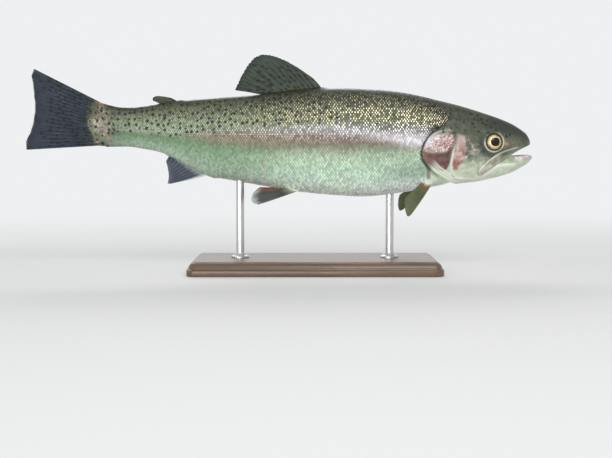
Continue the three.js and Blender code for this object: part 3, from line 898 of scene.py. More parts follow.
def section_lookup(backs, arcs):
    """Points of the bare body, at distances `arcs` round from the lateral line, and whether they exist."""
    turn = np.linspace(-math.pi / 2, math.pi / 2, FINE_TURNS)
    points, real = [], []
    for back, arc in zip(backs, arcs):
        line = bare_point(np.full(len(turn), back), turn)
        run = np.concatenate([[0], np.cumsum(np.linalg.norm(np.diff(line, axis=0), axis=1))])
        run -= np.interp(lateral_line(back), line[:, 2], run)
        points.append(sampled(line, run, arc))
        real.append((arc > run[0] - PAST_END) & (arc < run[-1] + PAST_END))
    return np.array(points), np.array(real)


# Every column holds every row here. Half of the places are used: even rows in even columns, odd in odd.
row_arcs = row_numbers[None, :] * ROW_PITCH * pitch_share(column_backs)[:, None]
lattice, real = section_lookup(column_backs, row_arcs)
along_way = np.gradient(lattice, axis=0)
round_way = np.gradient(lattice, axis=1)
# Past the midline the rows bunch up, so there the way round is set straight across.
short = np.linalg.norm(round_way, axis=2) < 0.4
round_way[short] = np.array([0.0, -1.0, 0.0])
round_way[short & (row_numbers < 0)[None, :]] = np.array([0.0, 1.0, 0.0])
print(len(column_backs), "columns by", len(row_numbers), "rows")

# %% Seats: a place, a lie, a normal and a size for every scale
rng = np.random.default_rng(29)
SCALE_LIFT = 0.05


def unit(vectors):
    return vectors / np.maximum(np.linalg.norm(vectors, axis=-1, keepdims=True), 1e-9)


outward = unit(np.cross(round_way, along_way))
swollen = lattice + outward * fin_swell(lattice.reshape(-1, 3)).reshape(real.shape)[..., None]
along_way = np.gradient(swollen, axis=0)
seat_round = np.gradient(swollen, axis=1)
seat_round[short] = round_way[short]
seat_normal = unit(np.cross(seat_round, along_way))
back, rise = lattice[..., 0], lattice[..., 2]
used = real & ((np.arange(len(column_backs))[:, None] + row_numbers[None, :]) % 2 == 0)
# The coat's front and rear edges are a little ragged, as no two rows end alike.
used &= back > front_of_scales(rise) + 0.4 * np.sin(row_numbers * 2.1)[None, :]
used &= back < rear_of_scales(rise) + 0.6 * np.sin(row_numbers * 2.7)[None, :]
seats = {
    "bare": lattice[used],
    "place": lattice[used] + outward[used] * (relief(lattice[used]) + SCALE_LIFT)[:, None],
    "way": unit(along_way[used]),
    "normal": seat_normal[used],
    "row": row_numbers[np.argwhere(used)[:, 1]],
    "size": pitch_share(lattice[used][:, 0]),
}
near_front = seats["bare"][:, 0] - front_of_scales(seats["bare"][:, 2])
seats["size"] = seats["size"] * (0.8 + 0.2 * smoothstep(near_front, 0, 14))
print(len(seats["place"]), "scales on each side")

# %% [markdown]
# ## One scale
# A trout's scale is a thin disc set in a pocket of skin. Only its rounded rear end shows, so the model's
# scale is a shallow dish with its front sunk, its sides turned down a little and its rear edge standing
# clear of the next scales. The rim is a bevel of its own: it catches the light as a fine bright or dark
# line and keeps every scale readable from a distance.

# %% The shape that is repeated
SCALE_REAR = 1.75
SCALE_FRONT = 2.9
SCALE_HALF_WIDTH = 2.22
BEVEL_FROM = 0.8  # the share of the way out at which the rim's bevel begins
# From a scale's own shares to metres on the unrolled skin, whose second axis runs down from the ridge.
UNROLLED_SCALE = ((SCALE_REAR + SCALE_FRONT) * MM, -2 * SCALE_HALF_WIDTH * MM, 0.0)


def scale_shape():
    """A closed plate in metres: +X towards the tail, +Z away from the body."""
    rear, front, half_width = SCALE_REAR, SCALE_FRONT, SCALE_HALF_WIDTH
    turns = np.radians([0, 24, 48, 72, 98, 140])
    outline = [[rear * math.cos(t), half_width * math.sin(t)] for t in turns[:4]]
    outline += [[front * math.cos(t), half_width * math.sin(t)] for t in turns[4:]]
    outline = np.array(outline + [[x, -y] for x, y in outline[:0:-1]])
    count = len(outline)

    def height(spots, share):
        """Rising to the rear, turned down at the sides and domed towards the middle."""
        rising = -0.05 + 0.155 * (spots[:, 0] + 0.6)
        return rising - 0.032 * spots[:, 1] ** 2 + 0.13 * (1 - share)

    inner = outline * BEVEL_FROM
    rim_points = np.column_stack([outline, height(outline, 1.0)])
    inner_points = np.column_stack([inner, height(inner, 0.35) + 0.02])
    centre = np.array([[-0.1, 0, height(np.array([[-0.1, 0]]), 0)[0] + 0.06]])
    floor = np.array([[-0.3, 0, height(np.array([[-0.3, 0]]), 1)[0] - 0.12]])
    points = np.vstack([rim_points, inner_points, centre, floor])
    faces = []
    for i in range(count):
        j = (i + 1) % count
        faces.append([i, j, count + j, count + i])
        faces.append([count + i, count + j, 2 * count, 2 * count])
        faces.append([j, i, 2 * count + 1, 2 * count + 1])
    piece = mesh_from("scale_shape", points * MM, np.array(faces))
    local = points / [rear + front, 2 * half_width, 1]
    set_attribute(piece.data, "local", local * [1, 1, 0])
    out_to_rim = np.concatenate([np.ones(count), np.full(count, BEVEL_FROM), [0, 1]])
    set_attribute(piece.data, "rim", out_to_rim, "FLOAT")
    sharp = piece.data.attributes.new("sharp_edge", "BOOLEAN", "EDGE")
    ends = np.array([edge.vertices[:] for edge in piece.data.edges])
    sharp.data.foreach_set("value", (ends < count).all(1))
    return piece


scale_piece = scale_shape()

# %% [markdown]
# ## Growing the coat
# Geometry Nodes put a scale on every seat. `Axes to Rotation` turns it so that its Z follows the body's
# normal and its X the lie. A seeded random tilt and size keep the rows from looking stamped. The instances
# are then made real, and each scale gets a small patch of its own in the `OFBake` map: the map is the flank
# unrolled, so a scale's patch lies where its root lies.

# %% Helpers for node trees


class Signal:
    """An output of a node. Signals are added, multiplied and so on like numbers, by Math nodes."""

    def __init__(self, socket):
        self.socket, self.tree = socket, socket.id_data

    def __getitem__(self, key):
        """The same node's outputs, by name or by number."""
        return Signal(self.socket.node.outputs[key])

    def __add__(self, other):
        return calc("ADD", self, other)

    def __sub__(self, other):
        return calc("SUBTRACT", self, other)

    def __rsub__(self, other):
        return calc("SUBTRACT", other, self)

    def __mul__(self, other):
        return calc("MULTIPLY", self, other)

    def __truediv__(self, other):
        return calc("DIVIDE", self, other)

    def __pow__(self, other):
        return calc("POWER", self, other)


def feed(node, key, value):
    """Link a signal to an input of a node, or set the input to a value."""
    if isinstance(value, Signal):
        value.tree.links.new(value.socket, node.inputs[key])
    else:
        node.inputs[key].default_value = value


def add(tree, kind, inputs=(), **settings):
    """Add a node, set it up, feed its named or numbered inputs and give back its first output."""
    node = tree.nodes.new(kind)
    for name, value in settings.items():
        setattr(node, name, value)
    for key, value in dict(inputs).items():
        feed(node, key, value)
    return Signal(node.outputs[0]) if node.outputs else None


def tree_of(*values):
    """The tree of the first signal among signals and plain values."""
    return next(value.tree for value in values if isinstance(value, Signal))


def calc(operation, *values, clamp=False):
    inputs = dict(enumerate(values))
    return add(tree_of(*values), "ShaderNodeMath", inputs, operation=operation, use_clamp=clamp)


def vector_calc(operation, *values, **more):
    inputs = {**dict(enumerate(values)), **more}
    return add(tree_of(*values), "ShaderNodeVectorMath", inputs, operation=operation)


# %% The tree that puts a scale on every seat
COAT_SEED = 7
COAT_INPUTS = [
    ("Seats", "Geometry", None),
    ("Scale Shape", "Object", None),
    ("Patch Size", "Float", 0.003),  # of a scale's patch in the OFBake map
    ("Tilt Range", "Float", 0.06),
    ("Size Range", "Float", 0.05),
    ("Seed", "Int", COAT_SEED),
    ("Material", "Material", None),
]


def coat_tree():
    tree = bpy.data.node_groups.new("Scales on seats", "GeometryNodeTree")
    for name, kind, value in COAT_INPUTS:
        socket = tree.interface.new_socket(name, in_out="INPUT", socket_type=f"NodeSocket{kind}")
        if value is not None:
            socket.default_value = value
    tree.interface.new_socket("Coat", in_out="OUTPUT", socket_type="NodeSocketGeometry")
    given = add(tree, "NodeGroupInput")

    def stored(name, kind="FLOAT_VECTOR"):
        return add(tree, "GeometryNodeInputNamedAttribute", {"Name": name}, data_type=kind)["Attribute"]

    def spread(amount, seed_shift):
        """A number for each scale, from minus the amount to plus the amount."""
        inputs = {2: amount * -1.0, 3: amount, "Seed": given["Seed"] + seed_shift}
        return add(tree, "FunctionNodeRandomValue", inputs, data_type="FLOAT")[1]

    axes = {"Primary Axis": stored("normal"), "Secondary Axis": stored("way")}
    turn = add(tree, "FunctionNodeAxesToRotation", axes, primary_axis="Z", secondary_axis="X")
    tilt = {axis: spread(given["Tilt Range"], 1.0 + axis) for axis in range(3)}
    tilt = add(tree, "ShaderNodeCombineXYZ", tilt)
    tilt = add(tree, "FunctionNodeEulerToRotation", {0: tilt})
    turn = add(tree, "FunctionNodeRotateRotation", {0: turn, 1: tilt}, rotation_space="LOCAL")
    size = (spread(given["Size Range"], 4.0) + 1.0) * stored("size", "FLOAT")
    shape = add(tree, "GeometryNodeObjectInfo", {"Object": given["Scale Shape"]})["Geometry"]
    placing = {"Points": given["Seats"], "Instance": shape, "Rotation": turn, "Scale": size}
    coat = add(tree, "GeometryNodeInstanceOnPoints", placing)
    coat = add(tree, "GeometryNodeRealizeInstances", {"Geometry": coat})
    reach = vector_calc("SCALE", stored("local"), Scale=stored("size", "FLOAT"))
    reach = vector_calc("MULTIPLY", reach, UNROLLED_SCALE)
    patch = vector_calc("SCALE", stored("local"), Scale=given["Patch Size"])
    maps = [
        ("unrolled", "FLOAT_VECTOR", "POINT", vector_calc("ADD", stored("unrolled"), reach)),
        ("OFBake", "FLOAT2", "CORNER", vector_calc("ADD", stored("root"), patch)),
    ]
    for name, kind, domain, value in maps:
        inputs = {"Geometry": coat, "Name": name, "Value": value}
        coat = add(tree, "GeometryNodeStoreNamedAttribute", inputs, data_type=kind, domain=domain)
    coat = add(tree, "GeometryNodeSetMaterial", {"Geometry": coat, "Material": given["Material"]})
    add(tree, "NodeGroupOutput", {0: coat})
    return tree


scales_on_seats = coat_tree()
print("the tree has", len(scales_on_seats.nodes), "nodes")


def applied(piece, tree, values):
    """Run a Geometry Nodes tree on a piece and keep the result as its plain mesh."""
    modifier = piece.modifiers.new(tree.name, "NODES")
    modifier.node_group = tree
    sockets = {item.name: item.identifier for item in tree.interface.items_tree if item.in_out == "INPUT"}
    for name, value in values.items():
        modifier[sockets[name]] = value
    bpy.context.view_layer.update()
    depsgraph = bpy.context.evaluated_depsgraph_get()
    result = bpy.data.meshes.new_from_object(piece.evaluated_get(depsgraph), depsgraph=depsgraph)
    result.name = piece.name
    piece.modifiers.remove(modifier)
    piece.data = result


# %% The seats as meshes, and the coat in four pieces


def swum_way(places, ways):
    """Directions carried along by the swimming bend."""
    return unit(swum(places + ways * 0.5) - swum(places - ways * 0.5))


def seat_object(name, chosen, hand):
    """The chosen seats on the left (hand 1) or the right (hand -1) as a mesh of loose points."""
    mirror = np.array([1, hand, 1])
    places = seats["place"][chosen] * mirror
    bare_places = seats["bare"][chosen] * mirror
    mesh = bpy.data.meshes.new(name)
    mesh.from_pydata(swum(places).tolist(), [], [])
    piece = in_scene(name, mesh)
    set_attribute(mesh, "normal", swum_way(places, seats["normal"][chosen] * mirror))
    set_attribute(mesh, "way", swum_way(places, seats["way"][chosen] * mirror))
    place_on_body(mesh, bare_places)
    set_attribute(mesh, "tone", rng.random((len(places), 3)))
    set_attribute(mesh, "size", seats["size"][chosen], "FLOAT")
    back_share = (bare_places[:, 0] - column_backs[0]) / (column_backs[-1] - column_backs[0])
    rows = seats["row"][chosen]
    row_share = (rows - rows.min()) / (rows.max() - rows.min())
    root = np.stack([0.01 + 0.98 * back_share, 0.02 + 0.96 * row_share, 0 * back_share], -1)
    set_attribute(mesh, "root", root)
    return piece


coat_material = bpy.data.materials.new("trout_scales")
scale_piece.data.materials.append(coat_material)
coat = []
upper_rows = seats["row"] > -2
for side_name, hand in SIDES.items():
    for band_name, chosen in (("back", upper_rows), ("belly", ~upper_rows)):
        piece = seat_object(f"scales_{band_name}_{side_name}", chosen, hand)
        values = {"Scale Shape": scale_piece, "Material": coat_material, "Seed": COAT_SEED + len(coat)}
        applied(piece, scales_on_seats, values)
        triangles = sum(len(face.vertices) - 2 for face in piece.data.polygons)
        print(piece.name, "has", int(chosen.sum()), "scales in", triangles, "triangles")
        coat.append(piece)
bpy.data.objects.remove(scale_piece)

# %% [markdown]
# ## Fins
# A fin is a thin web of skin stretched over bony rays. The rays fan out from the root, and about half way
# each one forks, and forks again near the edge, so the fin stays evenly stiffened as it widens. Each fin
# is modelled as one closed sheet with two faces. Its thickness rises over every ray and sinks between them,
# and its edge is drawn in a little between the rays. The same numbers that place the CAD plates are used:
# the root, the length of the rays and the angle at which they lie, each as a short curve across the fin.

# %% The fins' plans
COLUMNS_PER_RAY = 10
FIN_ROWS = 44
ROOT_DEPTH = 0.16  # the part of a ray's length that is sunk in the flesh
EDGE_CUT = 0.022  # how far the edge is drawn in between the rays, as a part of their length

# `root` is the line from the first ray's root to the last one's, in back and rise. `reach` and `angle` give
# the rays' length in millimetres and their slope in degrees, at shares of the way across the fin. `thick`
# is what the root has more than the tip, and the tip's own thickness. `curl` is the bend of the rays, in
# degrees. A paired fin is rooted at `side` and leans out by `spread`. A soft fin shows hardly any rays.
FINS = {
    "dorsal_fin": {
        "root": [[206, 43.2], [261, 37.2]],
        "reach": [[0, 16.5], [0.16, 37], [0.4, 50], [0.55, 52], [0.7, 47.5], [0.85, 40], [1, 34]],
        "angle": [[0, 50], [0.5, 48.5], [0.7, 40], [0.85, 27], [1, 11]],
        "thick": [2.4, 0.55],
        "rays": 12,
        "curl": -10,
    },
    "adipose_fin": {
        "root": [[349, 31], [366, 28.5]],
        "reach": [[0, 10], [0.35, 18], [0.7, 16], [1, 10.5]],
        "angle": [[0, 30], [0.5, 24], [1, 26]],
        "thick": [2.4, 0.9],
        "rays": 4,
        "curl": -14,
        "soft": True,
    },
    "tail_fin": {
        "root": [[421, 28.5], [421, -11]],
        "reach": [[0, 78], [0.04, 80], [0.25, 74.5], [0.5, 70.5], [0.75, 73], [0.96, 80], [1, 78]],
        "angle": [[0, 27.1], [0.25, 20], [0.5, 12.2], [0.75, 4.2], [1, -3.3]],
        "thick": [4.2, 0.6],
        "rays": 18,
        "curl": 0,
    },
    "anal_fin": {
        "root": [[316.5, -39.3], [358.5, -18.3]],
        "reach": [[0, 29], [0.12, 41], [0.3, 35], [0.6, 23], [1, 10]],
        "angle": [[0, -15], [0.12, -18.5], [0.4, -27], [0.7, -40], [1, -62]],
        "thick": [2.2, 0.55],
        "rays": 10,
        "curl": 6,
    },
    "pelvic_fin": {
        "root": [[229, -55.5], [239, -53]],
        "reach": [[0, 44], [0.2, 47.5], [0.5, 44.5], [0.75, 38], [1, 31]],
        "angle": [[0, -18.5], [0.25, -14.5], [0.5, -9.5], [0.75, -5], [1, -1]],
        "thick": [2.6, 0.55],
        "rays": 9,
        "curl": 4,
        "spread": 0.3,
        "side": 7.2,
    },
    "pectoral_fin": {
        "root": [[97.3, -47.2], [107.2, -45.3]],
        "reach": [[0, 39], [0.15, 42], [0.45, 39.5], [0.75, 33], [1, 26]],
        "angle": [[0, -51.5], [0.3, -51], [0.6, -48], [1, -40.5]],
        "thick": [3.0, 0.55],
        "rays": 12,
        "curl": 6,
        "spread": 0.85,
        "side": 13.4,
    },
}


def ray_height(phase, out):
    """How near a place is to a ray, 1 on its crest. `phase` counts rays. Each forks twice on its way out."""
    within = phase % 1.0 - 0.5
    first = 0.25 * smoothstep(out, 0.42, 0.95)
    second = 0.115 * smoothstep(out, 0.72, 1.1)
    width = 0.2 - 0.09 * smoothstep(out, 0.3, 0.9)
    height = np.zeros_like(within)
    for a in (-1, 1):
        for b in (-1, 1):
            height = np.maximum(height, hill(within - a * first - b * second, width))
    return height


def sheet_faces(rows, columns):
    """The faces of a closed sheet, whose points are a grid for one side and the same for the other."""
    near = np.arange(rows * columns).reshape(rows, columns)
    border = np.concatenate([near[0, :-1], near[:-1, -1], near[-1, :0:-1], near[:0:-1, 0]])
    border = np.append(border, border[0])
    strip = np.stack([border[:-1], border[1:], border[1:] + near.size, border[:-1] + near.size], -1)
    return np.vstack([quads(near), quads(near + near.size)[:, ::-1], strip])


def fin_piece(name, plan, hand=1):
    """One fin by its plan, as a closed sheet. S runs across the rays from 0 to 1, and R out along them."""
    reach, angle = smooth_curve(plan["reach"], 0.02), smooth_curve(plan["angle"], 0.02)
    rays = plan["rays"]
    share = np.linspace(0, 1, rays * COLUMNS_PER_RAY + 1)
    out = np.concatenate([[-ROOT_DEPTH, -0.08], np.linspace(0, 1, FIN_ROWS) ** 0.92])
    S, R = np.meshgrid(share, out)
    web = ray_height(S * rays + 0.5, R)
    if plan.get("soft"):
        web = 0.35 + 0.1 * web
    nibble = 0.5 + 0.5 * np.sin(share * 37.7 + 1.3) * np.sin(share * 12.9)
    tip_row = ray_height(share * rays + 0.5, np.ones_like(share))
    edge_cut = 1 - (0.0 if plan.get("soft") else EDGE_CUT) * (1 - tip_row) * (0.4 + nibble)
    # Each ray starts on the root's line and bends a little on its way out.
    length = (reach(share) * edge_cut)[None, :] * R
    step = np.diff(length, axis=0, prepend=0)
    bend = np.radians(angle(S) + plan["curl"] * (R - 0.5) * (R > 0))
    first_root, last_root = np.array(plan["root"])[..., None]
    start = first_root + (last_root - first_root) * share
    way = np.stack([np.cos(bend), np.sin(bend)])
    back, rise = start[:, None] + np.cumsum(way * step, axis=1)
    side = plan.get("side", 0) + plan.get("spread", 0) * length
    wave = 0.5 * np.sin(S * 5.5 + R * 2.5 + len(name)) * np.clip(R, 0, 1) ** 1.4
    # The sheet is thickest at the root and over the rays, stoutest at the first, and thin at its border.
    rim = np.minimum(np.minimum(share, 1 - share)[None, :] * rays * 1.3, (1.02 - R) * 14)
    rim = np.clip(rim, 0, 1) ** 0.5
    root_thick, tip_thick = plan["thick"]
    half = (root_thick * np.clip(1 - R, 0, 1.2) ** 2.4 + tip_thick) / 2
    lead = 1 + 0.7 * hill(S * rays, 0.8)
    half = half * (0.62 + 0.5 * web) * (0.35 + 0.65 * rim) * lead
    both_sides = [np.stack([back, side + wave + sign * half, rise], -1) for sign in (1, -1)]
    points = np.reshape(both_sides, (-1, 3)) * [1, hand, 1]
    piece = mesh_from(name, swum(points), sheet_faces(*S.shape))
    place_on_body(piece.data, points)
    for attribute_name, three in (("fin_place", [S, R, web]), ("ray_place", [S * rays, length / 10, 0 * S])):
        one_face = np.stack(three, -1).reshape(-1, 3)
        set_attribute(piece.data, attribute_name, np.vstack([one_face, one_face]))
    return piece


fins = {}
for name, plan in FINS.items():
    if "side" in plan:
        for side_name, hand in SIDES.items():
            fins[f"{name}_{side_name}"] = fin_piece(f"{name}_{side_name}_web", plan, hand)
    else:
        fins[name] = fin_piece(f"{name}_web", plan)

# %% [markdown]
# ## Eyes
# A trout's eye is a shallow dome that fills its socket. Its clear window, gold iris and black pupil are all
# seen from outside as one glossy surface, so the eye is a closed lens-shaped body whose colour is drawn
# by distance from its middle, under a coat of clear gloss. The pupil has a small point towards the snout,
# as in most fish, which lets them look ahead. Each point carries its place in the plane of the iris.

# %% The two eyes
EYE_RINGS = 30
EYE_SECTORS = 72
EYE_RADIUS = 8.5
EYE_DOME = 4.4
EYE_SUNK = 1.75


def flank_facing(back, rise):
    """The place and the outward direction of the bare left flank at a height."""
    step = 2.0
    sides = []
    for ahead, above in ((0, 0), (step, 0), (-step, 0), (0, step), (0, -step)):
        at, height = np.array(back + ahead), np.array(rise + above)
        turn = turn_at(at, height, height > widest_line(at))
        sides.append(float(bare_point(at, turn)[1]))
    along = (sides[1] - sides[2]) / (2 * step)
    up = (sides[3] - sides[4]) / (2 * step)
    return np.array([back, sides[0], rise]), unit(np.array([-along, 1.0, -up]))


def globe(rings, sectors):
    """Angles down a globe and round it, for its rings of points between the two poles."""
    tilts = np.linspace(0, math.pi, rings + 1)[1:-1]
    turns = np.linspace(0, 2 * math.pi, sectors, endpoint=False)
    return np.meshgrid(tilts, turns, indexing="ij")


def capped(rings, sectors):
    """The faces of rings of points, closed at each end round a pole. The poles are the last two points."""
    ring = np.arange(rings * sectors).reshape(rings, sectors)
    ring = np.hstack([ring, ring[:, :1]])
    return np.vstack([quads(ring), fan(rings * sectors, ring[0]), fan(rings * sectors + 1, ring[-1])])


def eye_piece(name, hand):
    place, facing = flank_facing(*EYE)
    up = unit(np.array([0, 0, 1.0]) - facing * facing[2])
    ahead = np.cross(up, facing)
    ahead = ahead * -np.sign(ahead[0])
    tilt, turn = globe(EYE_RINGS, EYE_SECTORS)
    x, y, z = np.sin(tilt) * np.cos(turn), np.sin(tilt) * np.sin(turn), np.cos(tilt)
    local = np.stack([EYE_RADIUS * x, EYE_RADIUS * y, EYE_DOME * z], -1).reshape(-1, 3)
    local = np.vstack([local, [[0, 0, EYE_DOME], [0, 0, -EYE_DOME]]])
    centre = place - facing * EYE_SUNK
    points = centre + local[:, :1] * ahead + local[:, 1:2] * up + local[:, 2:] * facing
    piece = mesh_from(name, swum(points * [1, hand, 1]), capped(*tilt.shape))
    set_attribute(piece.data, "iris_place", local * [1, 1, 0])
    return piece


eyes = {side_name: eye_piece(f"eyeball_{side_name}", hand) for side_name, hand in SIDES.items()}

# %% [markdown]
# ## Tongue
# The tongue lies on the floor of the mouth: a flat pad, rounded at its tip and furrowed along its middle.
# It is an ellipsoid whose points are moved by given rules, since nothing about it repeats.

# %% The tongue
TONGUE = {"back": 22.5, "rise": -25.2, "length": 15.5, "half_width": 6.0, "half_height": 2.3}
TONGUE_RINGS = 32
TONGUE_SECTORS = 48


def tongue_piece():
    tilt, turn = globe(TONGUE_RINGS, TONGUE_SECTORS)
    wide = np.sin(tilt) ** 0.75
    local = np.stack([-np.cos(tilt), wide * np.cos(turn), wide * np.sin(turn)], -1).reshape(-1, 3)
    local = np.vstack([local, [[-1, 0, 0], [1, 0, 0]]])
    furrow = -0.28 * hill(local[:, 1], 0.16) * (local[:, 2] > 0) * smoothstep(local[:, 0], -0.9, -0.4)
    sizes = np.array([TONGUE["length"], TONGUE["half_width"], TONGUE["half_height"]])
    points = (local + np.stack([0 * furrow, 0 * furrow, furrow], -1)) * sizes
    points[:, 2] += 0.9 * (local[:, 0] < 0) * local[:, 0] ** 2
    points += [TONGUE["back"], 0, TONGUE["rise"]]
    return mesh_from("tongue_pad", swum(points), capped(*tilt.shape))


tongue = tongue_piece()

# %% [markdown]
# ## Paint: small helpers for shader trees
# The colour of every piece is worked out by nodes from the attributes made above and from Object
# coordinates, which are the same for the skin and for the scales. These helpers only shorten the writing.

# %% Helpers for shader trees


def ease(value, low, high):
    """0 below `low`, 1 above `high` and smooth between; the two may be given the other way round."""
    inputs = {"Value": value, "From Min": low, "From Max": high}
    return add(tree_of(value, low), "ShaderNodeMapRange", inputs, interpolation_type="SMOOTHSTEP")


def bell(value, centre, width):
    """1 at the centre, falling to nothing past about twice the width."""
    gap = (value - centre) / width
    return calc("EXPONENT", gap * gap * -1.0)


def blend(factor, under, over, mode="MIX"):
    """One colour laid over another. A colour is a signal, or its red, green and blue."""
    under, over = (c if isinstance(c, Signal) else (*c, 1.0) for c in (under, over))
    inputs = {0: factor, 6: under, 7: over}
    settings = {"data_type": "RGBA", "blend_type": mode, "clamp_factor": True}
    return add(tree_of(*inputs.values()), "ShaderNodeMix", inputs, **settings)[2]


def layered(colour, *coats):
    """A colour under coats of paint, each given as its mask and its own colour, the lowest first."""
    for mask, paint in coats:
        colour = blend(mask, colour, paint)
    return colour


def lighten(colour, amount):
    """A colour times a changing number."""
    grey = add(amount.tree, "ShaderNodeCombineColor", {0: amount, 1: amount, 2: amount})
    return blend(1.0, colour, grey, "MULTIPLY")


def ramp(height, stops):
    """A colour by the height share, through stops from -1 on the belly to 1 on the back."""
    made = add(height.tree, "ShaderNodeValToRGB", {0: height * 0.5 + 0.5})
    elements = made.socket.node.color_ramp.elements
    while len(elements) < len(stops):
        elements.new(0.5)
    for element, (place, colour) in zip(elements, stops):
        element.position = (place + 1) / 2
        element.color = (*colour, 1.0)
    return made


def attribute(tree, name):
    """The three numbers of an attribute, as the outputs of one node."""
    source = add(tree, "ShaderNodeAttribute", attribute_name=name)["Vector"]
    return add(tree, "ShaderNodeSeparateXYZ", {0: source})


def object_place(tree):
    return add(tree, "ShaderNodeTexCoord")["Object"]


def noise(place, scale, detail=3.0, roughness=0.55):
    inputs = {"Vector": place, "Scale": scale, "Detail": detail, "Roughness": roughness}
    return add(place.tree, "ShaderNodeTexNoise", inputs)


def flat_place(x, y):
    return add(tree_of(x, y), "ShaderNodeCombineXYZ", {"X": x, "Y": y})


def strayed(place, scale, reach, middle):
    """A place pushed about by noise, which gives ragged outlines to a pattern drawn there."""
    stray = add(place.tree, "ShaderNodeTexNoise", {"Vector": place, "Scale": scale, "Detail": 1.0})["Color"]
    stray = vector_calc("SUBTRACT", stray, (middle, middle, middle))
    return vector_calc("ADD", place, vector_calc("SCALE", stray, Scale=reach))


def cell_pattern(place, scale, randomness, dimensions="2D"):
    """Cells about scattered points: the distance from a cell's own point, and three random numbers."""
    inputs = {"Vector": place, "Scale": scale, "Randomness": randomness}
    cells = add(place.tree, "ShaderNodeTexVoronoi", inputs, voronoi_dimensions=dimensions)
    return cells["Distance"], add(place.tree, "ShaderNodeSeparateColor", {0: cells["Color"]})


def new_material(name, **constants):
    """A material with its Principled shader, whose fixed values are set on the shader's own sockets."""
    material = bpy.data.materials.get(name) or bpy.data.materials.new(name)
    material.use_nodes = True
    shader = material.node_tree.nodes["Principled BSDF"]
    for socket, value in constants.items():
        shader.inputs[socket.replace("_", " ").title().replace("Ior", "IOR")].default_value = value
    return material, material.node_tree, shader


def bump(shader, height, distance, strength):
    inputs = {"Height": height, "Distance": distance, "Strength": strength}
    feed(shader, "Normal", add(height.tree, "ShaderNodeBump", inputs))


# %% [markdown]
# ## The trout's markings
# One node group paints the body, and the skin, the scales over it and the roots of the fins all use it, so
# a gap between two scales shows the same pattern. A ramp runs from the white belly over the silver-green
# flank to the dark back. The pink stripe fades towards the tail, and a painted highlight, a white sheen of
# reflected light along the flank, fades towards the middle.
# The spots sit in the cells of a Voronoi pattern, drawn on the unrolled skin, so that they stay round on
# every side. A mask lets them through only where a trout has them.

# %% The markings, as a shader node group
BODY_RAMP = [
    # height share from belly (-1) to back (1), colour
    (-1.0, (0.90, 0.96, 0.87)),
    (-0.80, (0.72, 0.88, 0.74)),
    (-0.62, (0.56, 0.76, 0.58)),
    (-0.45, (0.47, 0.62, 0.45)),
    (-0.33, (0.36, 0.45, 0.32)),
    (-0.23, (0.195, 0.220, 0.145)),
    (-0.15, (0.185, 0.135, 0.098)),
    (-0.07, (0.275, 0.178, 0.145)),
    (0.02, (0.40, 0.315, 0.285)),
    (0.12, (0.40, 0.42, 0.345)),
    (0.24, (0.26, 0.295, 0.180)),
    (0.42, (0.19, 0.22, 0.112)),
    (0.60, (0.14, 0.16, 0.078)),
    (0.78, (0.072, 0.086, 0.040)),
    (1.0, (0.042, 0.052, 0.026)),
]
STALK_RAMP = [
    # the same for the rear of the body
    (-1.0, (0.44, 0.53, 0.42)),
    (-0.72, (0.33, 0.46, 0.33)),
    (-0.62, (0.30, 0.43, 0.29)),
    (-0.38, (0.155, 0.265, 0.145)),
    (-0.20, (0.130, 0.195, 0.100)),
    (0.0, (0.185, 0.26, 0.140)),
    (0.25, (0.255, 0.34, 0.20)),
    (0.45, (0.19, 0.25, 0.14)),
    (0.65, (0.115, 0.15, 0.080)),
    (1.0, (0.052, 0.064, 0.034)),
]
HEAD_RAMP = [
    (-1.0, (0.66, 0.72, 0.58)),
    (-0.80, (0.56, 0.64, 0.48)),
    (-0.62, (0.38, 0.46, 0.32)),
    (-0.50, (0.24, 0.29, 0.20)),
    (-0.38, (0.155, 0.18, 0.120)),
    (-0.18, (0.072, 0.084, 0.056)),
    (0.06, (0.036, 0.044, 0.030)),
    (0.35, (0.024, 0.031, 0.022)),
    (1.0, (0.020, 0.028, 0.020)),
]
SPOT_COLOUR = (0.008, 0.010, 0.006)
SPOT_SPACING = 0.0055  # metres between the middles of two spots
HEAD_FROM_TO = (0.106, 0.094)  # metres behind the snout at which the head's paint begins and is full


